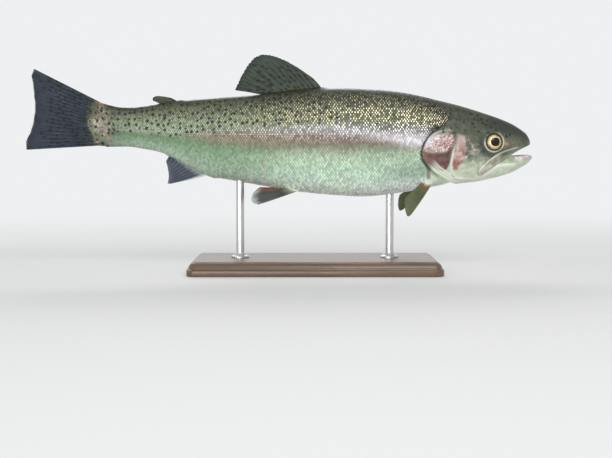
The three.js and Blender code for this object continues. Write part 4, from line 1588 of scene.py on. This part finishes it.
def markings_group():
    """The paint of the body. `back` is in metres behind the snout, and `height` is the height share."""
    tree = bpy.data.node_groups.new("Trout markings", "ShaderNodeTree")
    face = tree.interface
    for name, kind in (("Color", "Color"), ("Spots", "Float"), ("Silver", "Float"), ("Glitter", "Float")):
        face.new_socket(name, in_out="OUTPUT", socket_type=f"NodeSocket{kind}")
    for name, value in (("Spot Softness", 0.16), ("Mottle", 0.12)):
        face.new_socket(name, in_out="INPUT", socket_type="NodeSocketFloat").default_value = value
    given = add(tree, "NodeGroupInput")
    back, height, shadow = attribute(tree, "lie")
    place = object_place(tree)
    on_head = ease(back, *HEAD_FROM_TO)

    # The ground colour, with the tail's stalk, the stripe and a painted highlight: a white sheen of reflected
    # light along the flank. The highlight starts below the line at the gill cover and climbs above it on its
    # way back.
    drift = noise(place, 30.0) - 0.5
    soft_height = height + drift * 0.14
    mottle = ease(noise(place, 60.0, 4.0), 0.36, 0.66)
    stripe = bell(soft_height, -0.07, 0.12) * ease(back, 0.355, 0.31) * ease(back, 0.2, 0.27)
    off_painted_highlight = soft_height - (ease(back, 0.1, 0.21) * 0.22 - 0.1)
    painted_highlight = bell(off_painted_highlight, 0.0, ease(back, 0.15, 0.11) * 0.055 + 0.09) * ease(back, 0.27, 0.12)
    cheek_shade = bell(height, -0.66, 0.17) * ease(back, 0.17, 0.115)
    breast = ease(height, -0.72, -0.93) * ease(back, 0.2, 0.12)
    body = layered(
        ramp(soft_height, BODY_RAMP),
        (mottle * given["Mottle"], (0.4, 0.52, 0.44)),
        (ease(back, 0.2, 0.315), ramp(soft_height, STALK_RAMP)),
        (stripe * 0.85, (0.205, 0.145, 0.095)),
        # painted highlight: the white band of reflected light along the flank behind the gill cover
        (painted_highlight * 0.95, (0.91, 0.89, 0.92)),
        (cheek_shade * 0.65, (0.24, 0.33, 0.25)),
        (breast * 0.9, (0.9, 0.99, 0.98)),
    )
    body = lighten(body, ease(back, 0.385, 0.42) * -0.42 + 1.0)

    # The bare root of the tail is cream and rust. Its front edge is ragged and bows towards the head.
    rust = ease(noise(place, 230.0, 3.0), 0.44, 0.6)
    olive = ease(noise(place, 130.0, 2.0), 0.4, 0.62)
    tail_ground = blend(olive, blend(rust, (0.47, 0.44, 0.36), (0.33, 0.175, 0.075)), (0.12, 0.125, 0.075))
    ragged_back = (noise(place, 95.0, 4.0) - 0.5) * 0.034 + back
    head = ramp(drift * 0.42 + height, HEAD_RAMP)
    colour = layered(
        body,
        (ease(ragged_back, 0.411, 0.427) * 0.85, tail_ground),
        (on_head, head),
        (shadow * 0.92, (0.02, 0.021, 0.014)),
    )

    # The spots. Each cell of the pattern draws two random numbers: whether it has a spot, and how large.
    flat = add(tree, "ShaderNodeAttribute", attribute_name="unrolled")["Vector"]
    distance, pick = cell_pattern(strayed(flat, 330.0, 0.0021, 0.5), 1 / SPOT_SPACING, 0.72)
    lower_edge = 0.13 - ease(back, 0.27, 0.4) * 0.5
    often = ease(back, 0.12, 0.28) * 0.52 + 0.34
    on_side = ease(height, lower_edge, lower_edge + 0.16) * often
    wanted = calc("MAXIMUM", on_side, ease(back, 0.415, 0.425) * 0.7)
    margin = wanted - pick[0]
    radius = pick[1] * 0.12 + 0.185 - ease(back, 0.22, 0.13) * 0.06
    radius = radius * (ease(margin, 0.0, 0.14) * 0.55 + 0.45)
    softness = given["Spot Softness"]
    spots = ease(distance / radius - 1.0, softness, softness * -1.0) * ease(margin, 0.0, 0.03)
    spots = spots * (1.0 - on_head)
    # How strongly the scales carry painted glints, small highlights of reflected light: from just below the
    # lateral line upwards, strongest at the shoulder.
    painted_glint_share = ease(height, -0.19, 0.08) * (ease(back, 0.33, 0.13) * 0.52 + 0.48)
    results = {
        "Color": blend(spots * 0.95, colour, SPOT_COLOUR),
        "Spots": spots,
        "Silver": ease(soft_height, 0.5, 0.0) * (1.0 - on_head),
        "Glitter": painted_glint_share,
    }
    add(tree, "NodeGroupOutput", results)
    return tree


markings = markings_group()
print("the markings group has", len(markings.nodes), "nodes")


def painted_markings(tree, softness, mottle):
    """The markings group placed in a material, with its own values."""
    inputs = {"Spot Softness": softness, "Mottle": mottle}
    return add(tree, "ShaderNodeGroup", inputs, node_tree=markings)


# %% [markdown]
# ## Scales: silver below, painted gold glints above
# A scale shines because of crystals under it, and no two are turned alike, so each reflects the light with
# its own brightness. Above the lateral line every scale is dark with one small glint in the middle of the
# part that shows, a painted highlight standing for that reflection, gold on the back and white at the
# shoulder. Below it all are near the same silver, with a breath of pink or green. The numbers in `tone` are
# random for each scale, `local` is the place on it, and `rim` runs from its middle to its edge. The scales of
# the row on the lateral line each carry a small pale tube, the canal through which the fish feels the water
# move.

# %% The scale material
# Where each scale's painted glint sits.
PAINTED_GLINT_PLACE = 0.10  # along the scale, as a share of its length
ROW_ON_LINE = 0.02  # how far, as a share of the height, the line's own row reaches
material, tree, shader = new_material("trout_scales", coat_roughness=0.12, specular_ior_level=0.36)
painted = painted_markings(tree, 0.13, 0.1)
tone = attribute(tree, "tone")
along, across, _ = attribute(tree, "local")
back, height, _ = attribute(tree, "lie")
# Each scale's glint is a painted highlight: a small bright patch, shifted and sized at random, standing for
# the light its crystals reflect. `strength` is how brightly it is painted.
off_painted_glint = (along - (tone[1] * 0.1 + (PAINTED_GLINT_PLACE - 0.05))) / 0.105
off_middle = (across - (tone[2] * 0.16 - 0.08)) / 0.22
broken = (noise(object_place(tree), 900.0, 2.0) - 0.5) * 2.4
painted_glint = ease(off_painted_glint**2.0 + off_middle**2.0 + broken, 1.5, 0.25)
painted_glint_brightness = ease(tone[0], 0.05, 0.78) * 0.94 + 0.06
strength = painted_glint * painted_glint_brightness * painted["Glitter"] * ease(height, 1.05, 0.48)
painted_glint_colour = blend(ease(height, 0.3, 0.08), (0.97, 0.89, 0.53), (0.98, 0.95, 0.98))
tint = blend(tone[1], (1.06, 0.97, 1.02), (0.95, 1.03, 1.0))
ground = blend(1.0, painted["Color"], tint, "MULTIPLY")
rim = add(tree, "ShaderNodeAttribute", attribute_name="rim")["Fac"]
edge_dark = 1.0 - rim**4.0 * 0.5
ground = lighten(ground, (1.0 - painted["Glitter"] * 0.66) * (tone[0] * 0.52 + 0.8) * edge_dark)
# The painted glints fade towards the tail.
dusk = ease(back, 0.36, 0.2) * 0.3 + 0.7
tube = bell(across, 0.0, 0.065) * calc("LESS_THAN", calc("ABSOLUTE", height), ROW_ON_LINE)
colour = layered(
    ground,
    (strength * dusk, painted_glint_colour),
    (tube * 0.42, (0.62, 0.47, 0.39)),
    (painted["Spots"] * 0.93, SPOT_COLOUR),
)
unspotted = 1.0 - painted["Spots"]
feed(shader, "Base Color", colour)
feed(shader, "Metallic", (painted["Silver"] * 0.22 + strength * 0.45) * unspotted)
feed(shader, "Roughness", tone[2] * 0.14 + 0.28)
feed(shader, "Coat Weight", (painted["Silver"] * 0.12 + 0.08) * unspotted)
bump(shader, noise(object_place(tree), 2600.0, 2.0), 0.00005, 0.5)
print("the scales have", len(tree.nodes), "nodes")

# %% [markdown]
# ## The skin of the head
# The head has no scales. It is dark and finely pitted above, bronze before the eye, pink and pearl on the
# gill cover and nearly white under the jaws, with pale lines where a bone lies just under the skin, which
# are partly a painted highlight along its ridge. Pale silver flecks on the cheek are painted with the light
# they reflect. Painted shade darkens the creases, the gill slit, the skin under the eye and the inside of
# the mouth. Each of those is one of the masks, laid over the markings in turn, and noise breaks up their
# edges.

# %% The skin material
material, tree, shader = new_material("trout_skin", coat_roughness=0.14, specular_ior_level=0.36)
painted = painted_markings(tree, 0.22, 0.2)
place = object_place(tree)
back, height, _ = attribute(tree, "lie")
mauve, pearl, rose = attribute(tree, "paint_cover")
bone_and_highlight, crease, tan = attribute(tree, "paint_bone")
bronze, shade, slit_shade = attribute(tree, "paint_face")
moist, deep, lip_mask = attribute(tree, "paint_mouth")
fine = noise(place, 520.0, 3.0)
medium = noise(place, 170.0, 4.0)
blotch = ease(medium, 0.4, 0.62)
grain = ease(fine, 0.35, 0.68)
patch = ease(noise(place, 75.0, 3.0), 0.44, 0.6)
on_head = ease(back, *HEAD_FROM_TO)

# %% Cheek, jaws and gill cover
on_cheek = ease(back, 0.026, 0.04) * ease(back, 0.085, 0.075) * ease(height, 0.05, -0.25)
mottled = on_cheek * patch * ease(height, -0.72, -0.5)
low_grain = grain * (ease(height, 0.1, -0.2) * 0.13 + 0.05)
below = ease(height, -0.45, -0.65) * on_head
pearl_colour = layered(
    blend(patch, (0.5, 0.31, 0.3), (0.92, 0.88, 0.92)),
    (blotch * 0.55, (0.27, 0.145, 0.135)),
    (ease(fine, 0.49, 0.36) * 0.7, (0.22, 0.095, 0.085)),
    (ease(fine, 0.52, 0.64) * 0.75, (0.97, 0.93, 0.9)),
)
mauve_colour = blend(blotch, (0.085, 0.03, 0.026), (0.23, 0.095, 0.085))
mauve_colour = blend(patch * 0.4, mauve_colour, (0.075, 0.05, 0.055))
rose_colour = blend(blotch, (0.3, 0.095, 0.07), (0.62, 0.43, 0.4))
rose_colour = blend(ease(height, -0.45, -0.15) * 0.55, rose_colour, (0.66, 0.58, 0.56))
olive = ease(height, -0.2, 0.15) * (blotch * 0.55 + 0.15) * ease(back, 0.03, 0.055)
colour = layered(
    painted["Color"],
    (mottled * 0.72, (0.052, 0.066, 0.044)),
    # pale flecks on the cheek: the skin's own silver, painted with the light it reflects
    (on_cheek * blotch * grain * 0.8, (0.74, 0.7, 0.66)),
    (low_grain, (0.26, 0.28, 0.2)),
    (below * blotch * 0.4, (0.84, 0.88, 0.78)),
    (below * patch * 0.3, (0.34, 0.42, 0.25)),
    (shade * 0.92, (0.026, 0.031, 0.021)),
    (bronze * (blotch * 0.7 + 0.08), (0.4, 0.27, 0.12)),
    (pearl * 0.94, pearl_colour),
    (mauve * 0.96, mauve_colour),
    (rose * 0.88, rose_colour),
    (tan * 0.65, blend(blotch, (0.25, 0.205, 0.13), (0.5, 0.48, 0.37))),
    # painted shade in the gill slit under the cover
    (slit_shade * 0.65, (0.13, 0.095, 0.075)),
    # pale bone lines, partly a painted highlight on their ridges
    (bone_and_highlight * 0.9, (0.88, 0.93, 0.8)),
    # painted shade in the creases
    (crease * 0.9, (0.02, 0.022, 0.015)),
    (olive, (0.088, 0.096, 0.055)),
)

# %% Freckles, lips and the mouth
distance, pick = cell_pattern(strayed(place, 420.0, 0.0022, 0.0), 225.0, 0.85, "3D")
freckle = ease(distance, 0.44, 0.3) * calc("LESS_THAN", pick[0], 0.66)
freckle = freckle * ease(height, -0.18, 0.02) * ease(back, 0.022, 0.045) * on_head
freckle = freckle * (1.0 - calc("ADD", pearl, rose + mauve, clamp=True))
lip_colour = blend(blotch, (0.56, 0.46, 0.45), (0.8, 0.78, 0.78))
colour = layered(
    colour,
    (freckle * 0.92, SPOT_COLOUR),
    (lip_mask * 0.85, lip_colour),
    # the lining of the mouth, pale at the lips and darker deeper in: painted shade inside the mouth
    (moist, blend(deep, (0.66, 0.55, 0.5), (0.1, 0.04, 0.036))),
)
crown = ease(height, -0.15, 0.25)
feed(shader, "Base Color", colour)
feed(shader, "Metallic", pearl * 0.25 + 0.03)
feed(shader, "Roughness", crown * 0.18 + (fine * 0.22 + 0.26))
feed(shader, "Coat Weight", moist * 0.5 + (crown * -0.14 + 0.22))
bump(shader, fine * 0.6 + medium, 0.00035, 0.55)
skin.data.materials.append(material)
print("the skin has", len(tree.nodes), "nodes")

# %% [markdown]
# ## Fin paint
# A fin's colour follows its plan: how far across it, how far out, and whether over a ray or between two.
# At its root it takes the body's own markings, so that no line shows where fin and flesh meet. All the
# fins share one way of mixing and differ in their colours, so one function makes each of them.

# %% The fin materials


def fin_material(name, web, ray, root, margin, lead, spots=0.0, blush=None, flesh_reach=0.10):
    """Colours between and over the rays, near the root, along the margin and on the first ray."""
    material, tree, shader = new_material(name, coat_roughness=0.2, coat_weight=0.04, specular_ior_level=0.14)
    share, out, on_ray = attribute(tree, "fin_place")
    across, length, _ = attribute(tree, "ray_place")
    painted = painted_markings(tree, 0.22, 0.2)
    cloud = ease(noise(object_place(tree), 110.0, 4.0), 0.35, 0.68)
    over_ray = calc("POWER", on_ray, 1.5, clamp=True)
    colour = blend(over_ray, web, ray)
    colour = blend(cloud * 0.6, colour, blend(1.0, colour, (0.58, 0.62, 0.68), "MULTIPLY"))
    ragged = (noise(flat_place(across * 1.6, length * 0.45), 1.3, 4.0) - 0.5) * 0.26 + out
    colour = layered(
        colour,
        (ease(ragged, 0.36, 0.04), root),
        (ease(ragged, 0.82, 1.02) * 0.8, margin),
        (ease(across, 1.1, 0.3) * 0.85, lead),
    )
    if blush:
        colour = blend(ease(share, 0.62, 0.95) * ease(out, 0.15, 0.6) * 0.7, colour, blush)
    if spots:
        distance, pick = cell_pattern(flat_place(across, length * 1.55), 1.0, 0.72)
        keep = calc("LESS_THAN", pick[0], ease(out, 1.0, 0.62) * spots)
        colour = blend(ease(distance, 0.36, 0.2) * keep * 0.8, colour, SPOT_COLOUR)
    reach = bell(share, 0.45, 0.38) * (0.6 * flesh_reach) + 0.4 * flesh_reach
    flesh = ease(ragged - reach, 0.07, -0.05)
    feed(shader, "Base Color", blend(flesh, colour, painted["Color"]))
    feed(shader, "Roughness", cloud * 0.18 + 0.36)
    bump(shader, calc("SINE", length * 62.0) * over_ray, 0.00006, 0.6)
    return material


fin_looks = {
    "dorsal_fin": fin_material(
        "dorsal_web", (0.034, 0.048, 0.038), (0.07, 0.084, 0.058), (0.07, 0.08, 0.042),
        (0.02, 0.03, 0.031), (0.07, 0.08, 0.055), spots=0.9, flesh_reach=0.03,
    ),
    "adipose_fin": fin_material(
        "adipose_flesh", (0.055, 0.066, 0.036), (0.07, 0.08, 0.046), (0.075, 0.085, 0.045),
        (0.018, 0.023, 0.02), (0.028, 0.034, 0.026), spots=0.35, flesh_reach=0.05,
    ),
    "tail_fin": fin_material(
        "tail_web", (0.02, 0.027, 0.044), (0.048, 0.058, 0.074), (0.055, 0.064, 0.052),
        (0.012, 0.017, 0.032), (0.034, 0.042, 0.056), spots=0.95, flesh_reach=0.24,
    ),
    "anal_fin": fin_material(
        "anal_web", (0.048, 0.06, 0.084), (0.11, 0.125, 0.145), (0.4, 0.48, 0.44),
        (0.11, 0.13, 0.17), (0.66, 0.72, 0.72),
    ),
    "pelvic_fin": fin_material(
        "pelvic_web", (0.052, 0.062, 0.06), (0.115, 0.122, 0.104), (0.42, 0.4, 0.25),
        (0.6, 0.64, 0.64), (0.12, 0.13, 0.135), blush=(0.24, 0.07, 0.052),
    ),
    "pectoral_fin": fin_material(
        "pectoral_web", (0.075, 0.105, 0.052), (0.235, 0.245, 0.125), (0.34, 0.185, 0.095),
        (0.12, 0.15, 0.1), (0.46, 0.38, 0.19),
    ),
}
for name, piece in fins.items():
    plan_name = name.removesuffix("_left").removesuffix("_right")
    piece.data.materials.append(fin_looks[plan_name])
print(len(fin_looks), "fin materials on", len(fins), "fins")

# %% [markdown]
# ## Eye and tongue
# The iris is gold leaf with fine radial threads, darker fore and aft, and rimmed by a bright line round the
# pupil. The clear window over it is a coat of gloss on the shader: the threads are a bump under that coat, so
# the highlight of a lamp stays smooth and round.

# %% The eye material
PUPIL = 4.35  # radius in millimetres, as the iris's
IRIS = 7.35
material, tree, shader = new_material(
    "trout_eye", coat_weight=0.55, coat_roughness=0.02, roughness=0.34, specular_ior_level=0.08
)
ahead, up, _ = attribute(tree, "iris_place")
radius = calc("SQRT", ahead**2.0 + up**2.0)
pupil_radius = radius * (1.0 - ease(ahead, 0.0, PUPIL) * 0.14)
threads = noise(flat_place(calc("ARCTAN2", up, ahead) * 9.0, radius * 0.35), 1.6, 5.0, 0.65)
dark_patch = ease(noise(flat_place(ahead, up), 0.55, 2.0), 0.5, 0.64) * ease(radius, 5.0, 6.4)
gold = layered(
    blend(ease(threads, 0.3, 0.7), (0.42, 0.25, 0.075), (0.86, 0.66, 0.3)),
    (bell(radius, PUPIL + 0.55, 0.42), (0.95, 0.82, 0.5)),
    (dark_patch * 0.75, (0.12, 0.065, 0.03)),
    (ease(radius, IRIS - 0.55, IRIS + 0.1), (0.03, 0.032, 0.026)),
    (bell(radius, IRIS + 0.75, 0.25), (0.12, 0.14, 0.11)),
    (ease(pupil_radius, PUPIL + 0.12, PUPIL - 0.1), (0.002, 0.002, 0.003)),
)
feed(shader, "Base Color", gold)
in_iris = ease(radius, IRIS + 0.1, IRIS - 0.4) * ease(pupil_radius, PUPIL, PUPIL + 0.2)
feed(shader, "Metallic", in_iris * 0.45)
bump(shader, threads * in_iris, 0.0004, 0.6)
for piece in eyes.values():
    piece.data.materials.append(material)

material, tree, shader = new_material("tongue_skin", coat_weight=0.5, coat_roughness=0.1, roughness=0.4)
velvet = noise(object_place(tree), 900.0, 3.0)
feed(shader, "Base Color", blend(ease(velvet, 0.35, 0.65), (0.6, 0.38, 0.34), (0.74, 0.56, 0.5)))
bump(shader, velvet, 0.0002, 0.6)
tongue.data.materials.append(material)
print("eye and tongue are painted")

# %% [markdown]
# ## The display stand
# The base is a slab of dark hardwood whose edge has been run past a router. A slab with a moulded edge is a
# stack of rounded outlines, each a little higher than the last and set in by its own amount, so one list of
# steps draws the whole moulding. The rods and their turned feet are lathe work: a profile spun round the
# rod's axis. Where each of them stands, and how high, is read from its CAD node's box.

# %% The stand
EDGE_STEPS = [
    # inset from the outline, height, in millimetres
    (1.1, 0.0), (0.3, 0.35), (0.0, 1.2), (0.0, 5.6), (0.25, 6.3), (0.9, 6.75), (1.7, 6.9),
    (1.9, 7.3), (2.05, 8.4), (2.6, 10.0), (3.6, 11.5), (5.0, 12.7), (6.4, 13.35), (7.0, 13.45),
    (7.15, 13.75), (7.5, 13.96), (8.2, 14.0),
]
CORNER_RADIUS = 10.0
CORNER_STEPS = 14
LEAST_RADIUS = 2.2
LATHE_SECTORS = 64
SHARP_ANGLE = math.radians(35)
# The CAD solids stand a hair apart. The rods go down into their feet, and the feet down to the board.
ROD_SUNK = 1.5
FOOT_SUNK = 0.3


def slab_outline(half, inset):
    """A rounded rectangle, anticlockwise, drawn in by `inset`."""
    radius = max(CORNER_RADIUS - inset, LEAST_RADIUS)
    turns = np.concatenate([np.linspace(quarter, quarter + 1, CORNER_STEPS) for quarter in range(4)])
    turns *= math.pi / 2
    corners = np.repeat([[1, 1], [-1, 1], [-1, -1], [1, -1]], CORNER_STEPS, axis=0)
    return np.stack([np.cos(turns), np.sin(turns)], -1) * radius + corners * (half - inset - radius)


def stacked(name, loops, low_tip, high_tip):
    """Loops of points from the bottom to the top, closed at each end round a tip."""
    points = np.vstack([np.vstack(loops), [low_tip, high_tip]])
    piece = mesh_from(name, points, capped(len(loops), len(loops[0])))
    piece.data.set_sharp_from_angle(angle=SHARP_ANGLE)
    return piece


def slab(name, node, steps):
    low, high = (np.array(corner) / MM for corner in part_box(node))
    middle, half = (low + high) / 2, (high - low) / 2
    scale = (high[2] - low[2]) / steps[-1][1]
    loops = []
    for inset, height in steps:
        flat = slab_outline(half[:2], inset) + middle[:2]
        loops.append(np.column_stack([flat, np.full(len(flat), low[2] + height * scale)]) * MM)
    return stacked(name, loops, [*middle[:2] * MM, low[2] * MM], [*middle[:2] * MM, high[2] * MM])


def turned(name, foot, profile):
    """A profile of (radius, height) in millimetres spun round the upright through `foot`, in metres."""
    turns = np.linspace(0, 2 * math.pi, LATHE_SECTORS, endpoint=False)
    spun = np.stack([np.cos(turns), np.sin(turns)], -1)
    loops = [
        np.column_stack([spun * radius, np.full(LATHE_SECTORS, height)]) * MM + foot
        for radius, height in profile
    ]
    return stacked(name, loops, foot + [0, 0, profile[0][1] * MM], foot + [0, 0, profile[-1][1] * MM])


def upright(node):
    """The middle of a round CAD node's foot, in metres, and its radius and height in millimetres."""
    low, high = (np.array(corner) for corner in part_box(node))
    foot = np.array([*(low + high)[:2] / 2, low[2]])
    return foot, (high[0] - low[0]) / 2 / MM, (high[2] - low[2]) / MM


stand = {"stand_base": slab("base_board", "stand_base", EDGE_STEPS)}
for place in ("front", "rear"):
    foot, wide, tall = upright(f"stand_rod_{place}")
    rod = [(wide, -ROD_SUNK), (wide, 0.3), (wide, tall - 0.5), (wide - 0.5, tall)]
    stand[f"stand_rod_{place}"] = turned(f"rod_{place}", foot, rod)
    foot, wide, tall = upright(f"stand_ferrule_{place}")
    cup = [
        (wide - 0.4, -FOOT_SUNK), (wide - 0.4, 0), (wide, 0.3), (wide, 1.1), (wide - 0.5, 1.6),
        (wide - 1.3, 1.9), (wide - 1.5, 2.0), (wide - 2.0, 2.7), (wide - 2.9, 3.6),
        (wide - 3.3, tall - 0.5), (wide - 3.6, tall - 0.1), (wide - 4.1, tall),
    ]
    stand[f"stand_ferrule_{place}"] = turned(f"rod_foot_{place}", foot, cup)
print("the stand has", len(stand), "pieces")

# %% [markdown]
# ## Wood and steel
# Walnut's grain runs the long way of the board. Rings of growth are noise stretched along the grain, and
# the pores are fine dashes of a second noise stretched further. Brushed steel is a noise stretched round
# the rod, so that its scratches run round it.

# %% The stand's materials
material, tree, shader = new_material("walnut", coat_weight=0.35, coat_roughness=0.2)
place = object_place(tree)
grain_place = add(tree, "ShaderNodeMapping", {"Vector": place, "Scale": (3.0, 38.0, 38.0)})
figure = noise(grain_place, 1.0, 5.0)
rings = calc("FRACT", figure * 9.0)
rings = ease(rings, 0.0, 0.55) * ease(rings, 1.0, 0.85)
pore_place = add(tree, "ShaderNodeMapping", {"Vector": place, "Scale": (90.0, 1900.0, 1900.0)})
pores = ease(noise(pore_place, 1.0, 2.0), 0.36, 0.3)
wood = layered(
    blend(figure, (0.075, 0.04, 0.022), (0.205, 0.12, 0.066)),
    (rings * 0.45, (0.06, 0.032, 0.018)),
    (pores * 0.6, (0.03, 0.016, 0.01)),
)
feed(shader, "Base Color", wood)
feed(shader, "Roughness", figure * 0.15 + 0.32)
bump(shader, pores * -1.0, 0.0001, 0.5)

material, tree, shader = new_material("brushed_steel", metallic=1.0)
place = object_place(tree)
scratch_place = add(tree, "ShaderNodeMapping", {"Vector": place, "Scale": (160.0, 160.0, 9000.0)})
scratches = noise(scratch_place, 1.0, 3.0)
smudge = noise(place, 90.0, 2.0)
feed(shader, "Base Color", blend(scratches, (0.5, 0.5, 0.49), (0.66, 0.66, 0.65)))
feed(shader, "Roughness", smudge * 0.2 + 0.22)
bump(shader, scratches, 0.00002, 0.4)
for node, piece in stand.items():
    piece.data.materials.append(bpy.data.materials["walnut" if node == "stand_base" else "brushed_steel"])
print("the stand is finished")

# %% [markdown]
# ## Bodies and what each piece stands for
# The model is still, so everything rides on its one body. The skin and the scales stand for the flesh
# solids, and each fin, eye and stand piece for its own.

# %% Riding and replacing
FLESH = [
    "head", "lower_jaw", "upper_jaw_left", "upper_jaw_right", "gill_cover_left", "gill_cover_right", "trunk",
    "tail_stalk",
]
PALE_FINS = ("pectoral_fin", "pelvic_fin")


def settle(piece, slot, *nodes):
    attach(piece, "root")
    if nodes:
        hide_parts(*nodes)


settle(skin, "skin", *FLESH)
for piece in coat:
    settle(piece, "scales")
for name, piece in fins.items():
    settle(piece, "pale_fin" if name.startswith(PALE_FINS) else "fin", name)
for side_name, piece in eyes.items():
    settle(piece, "eye", f"eye_{side_name}")
settle(tongue, "mouth", "tongue")
for node, piece in stand.items():
    settle(piece, "stand_wood" if node == "stand_base" else "stand_metal", node)
print(2 + len(coat) + len(fins) + len(eyes) + len(stand), "pieces ride on the root")

# %% [markdown]
# ## Floor, light and camera
# The floor is pale and far wider than the view. For the camera, and for what glossy and clear things show,
# it takes on the colour of the world behind it as it runs out, so no horizon line shows behind the fish,
# while near the stand it still takes the shadow. Three large soft lamps light the fish: a key high on its
# side of the room, a low strip that reaches the belly, and one behind for the outline of the back. Their
# strength is set so that a grey of 0.5 on the flank renders as about 0.5.

# %% The floor and the world
WORLD_COLOUR = (0.86, 0.87, 0.88)
FLOOR_RADIUS = 12.0
bpy.ops.mesh.primitive_circle_add(vertices=96, radius=FLOOR_RADIUS, fill_type="NGON")
floor = bpy.context.object
floor.name = "studio_floor"
material, tree, shader = new_material("studio_floor", base_color=(0.88, 0.88, 0.87, 1), roughness=0.7)
out_from_middle = add(tree, "ShaderNodeVectorMath", {0: object_place(tree)}, operation="LENGTH")["Value"]
far_share = ease(out_from_middle, 0.26, 1.15) * 0.8 + 0.2


def seen_rays(tree):
    """1 for the rays that show a background: the camera's own, and those of metal and glass."""
    rays = add(tree, "ShaderNodeLightPath")
    mirrored = calc("MAXIMUM", rays["Is Glossy Ray"], rays["Is Transmission Ray"])
    return calc("MAXIMUM", rays["Is Camera Ray"], mirrored)


glow = add(tree, "ShaderNodeEmission", {"Color": (*WORLD_COLOUR, 1), "Strength": 1.0})
inputs = {0: far_share * seen_rays(tree), 1: Signal(shader.outputs[0]), 2: glow}
feed(tree.nodes["Material Output"], "Surface", add(tree, "ShaderNodeMixShader", inputs))
floor.data.materials.append(material)

WORLD_STRENGTH = 0.42
world = bpy.data.worlds.new("room")
bpy.context.scene.world = world
world.use_nodes = True
tree = world.node_tree
feed(tree.nodes["Background"], "Color", (*WORLD_COLOUR, 1))
feed(tree.nodes["Background"], "Strength", seen_rays(tree) * (1.0 - WORLD_STRENGTH) + WORLD_STRENGTH)
print("the floor reaches", FLOOR_RADIUS, "m out")

# %% The lamps and the camera
LAMPS_AIM = Vector((0.0, 0.0, 0.12))


def lamp(name, place, size, power):
    """A soft lamp of a width and a height in metres."""
    light = bpy.data.lights.new(name, "AREA")
    light.shape = "RECTANGLE"
    light.size, light.size_y = size
    light.energy = power
    holder = in_scene(name, light)
    holder.location = place
    holder.rotation_euler = (LAMPS_AIM - Vector(place)).to_track_quat("-Z", "Y").to_euler()
    holder.visible_camera = False


lamp("key", (0.40, -1.30, 1.05), (0.9, 0.6), 10.0)
lamp("fill", (-0.5, -1.35, 0.08), (1.4, 0.14), 8.0)
lamp("behind", (-0.2, 1.3, 1.1), (1.2, 0.5), 8.0)

CAMERA_PLACE = (-0.009, -1.193, 0.129)
LOOKS_DOWN_BY = 0.0865  # metres, over the way to the fish's middle plane
camera = in_scene("camera", bpy.data.cameras.new("camera"))
camera.data.lens = 70.0
camera.data.sensor_width = 36.0
camera.location = CAMERA_PLACE
camera.rotation_euler = (math.pi / 2 - math.atan2(LOOKS_DOWN_BY, -CAMERA_PLACE[1]), 0, 0)
bpy.context.scene.camera = camera
bpy.context.scene.view_settings.view_transform = "Standard"
print(len(bpy.data.lights), "lamps light the fish")
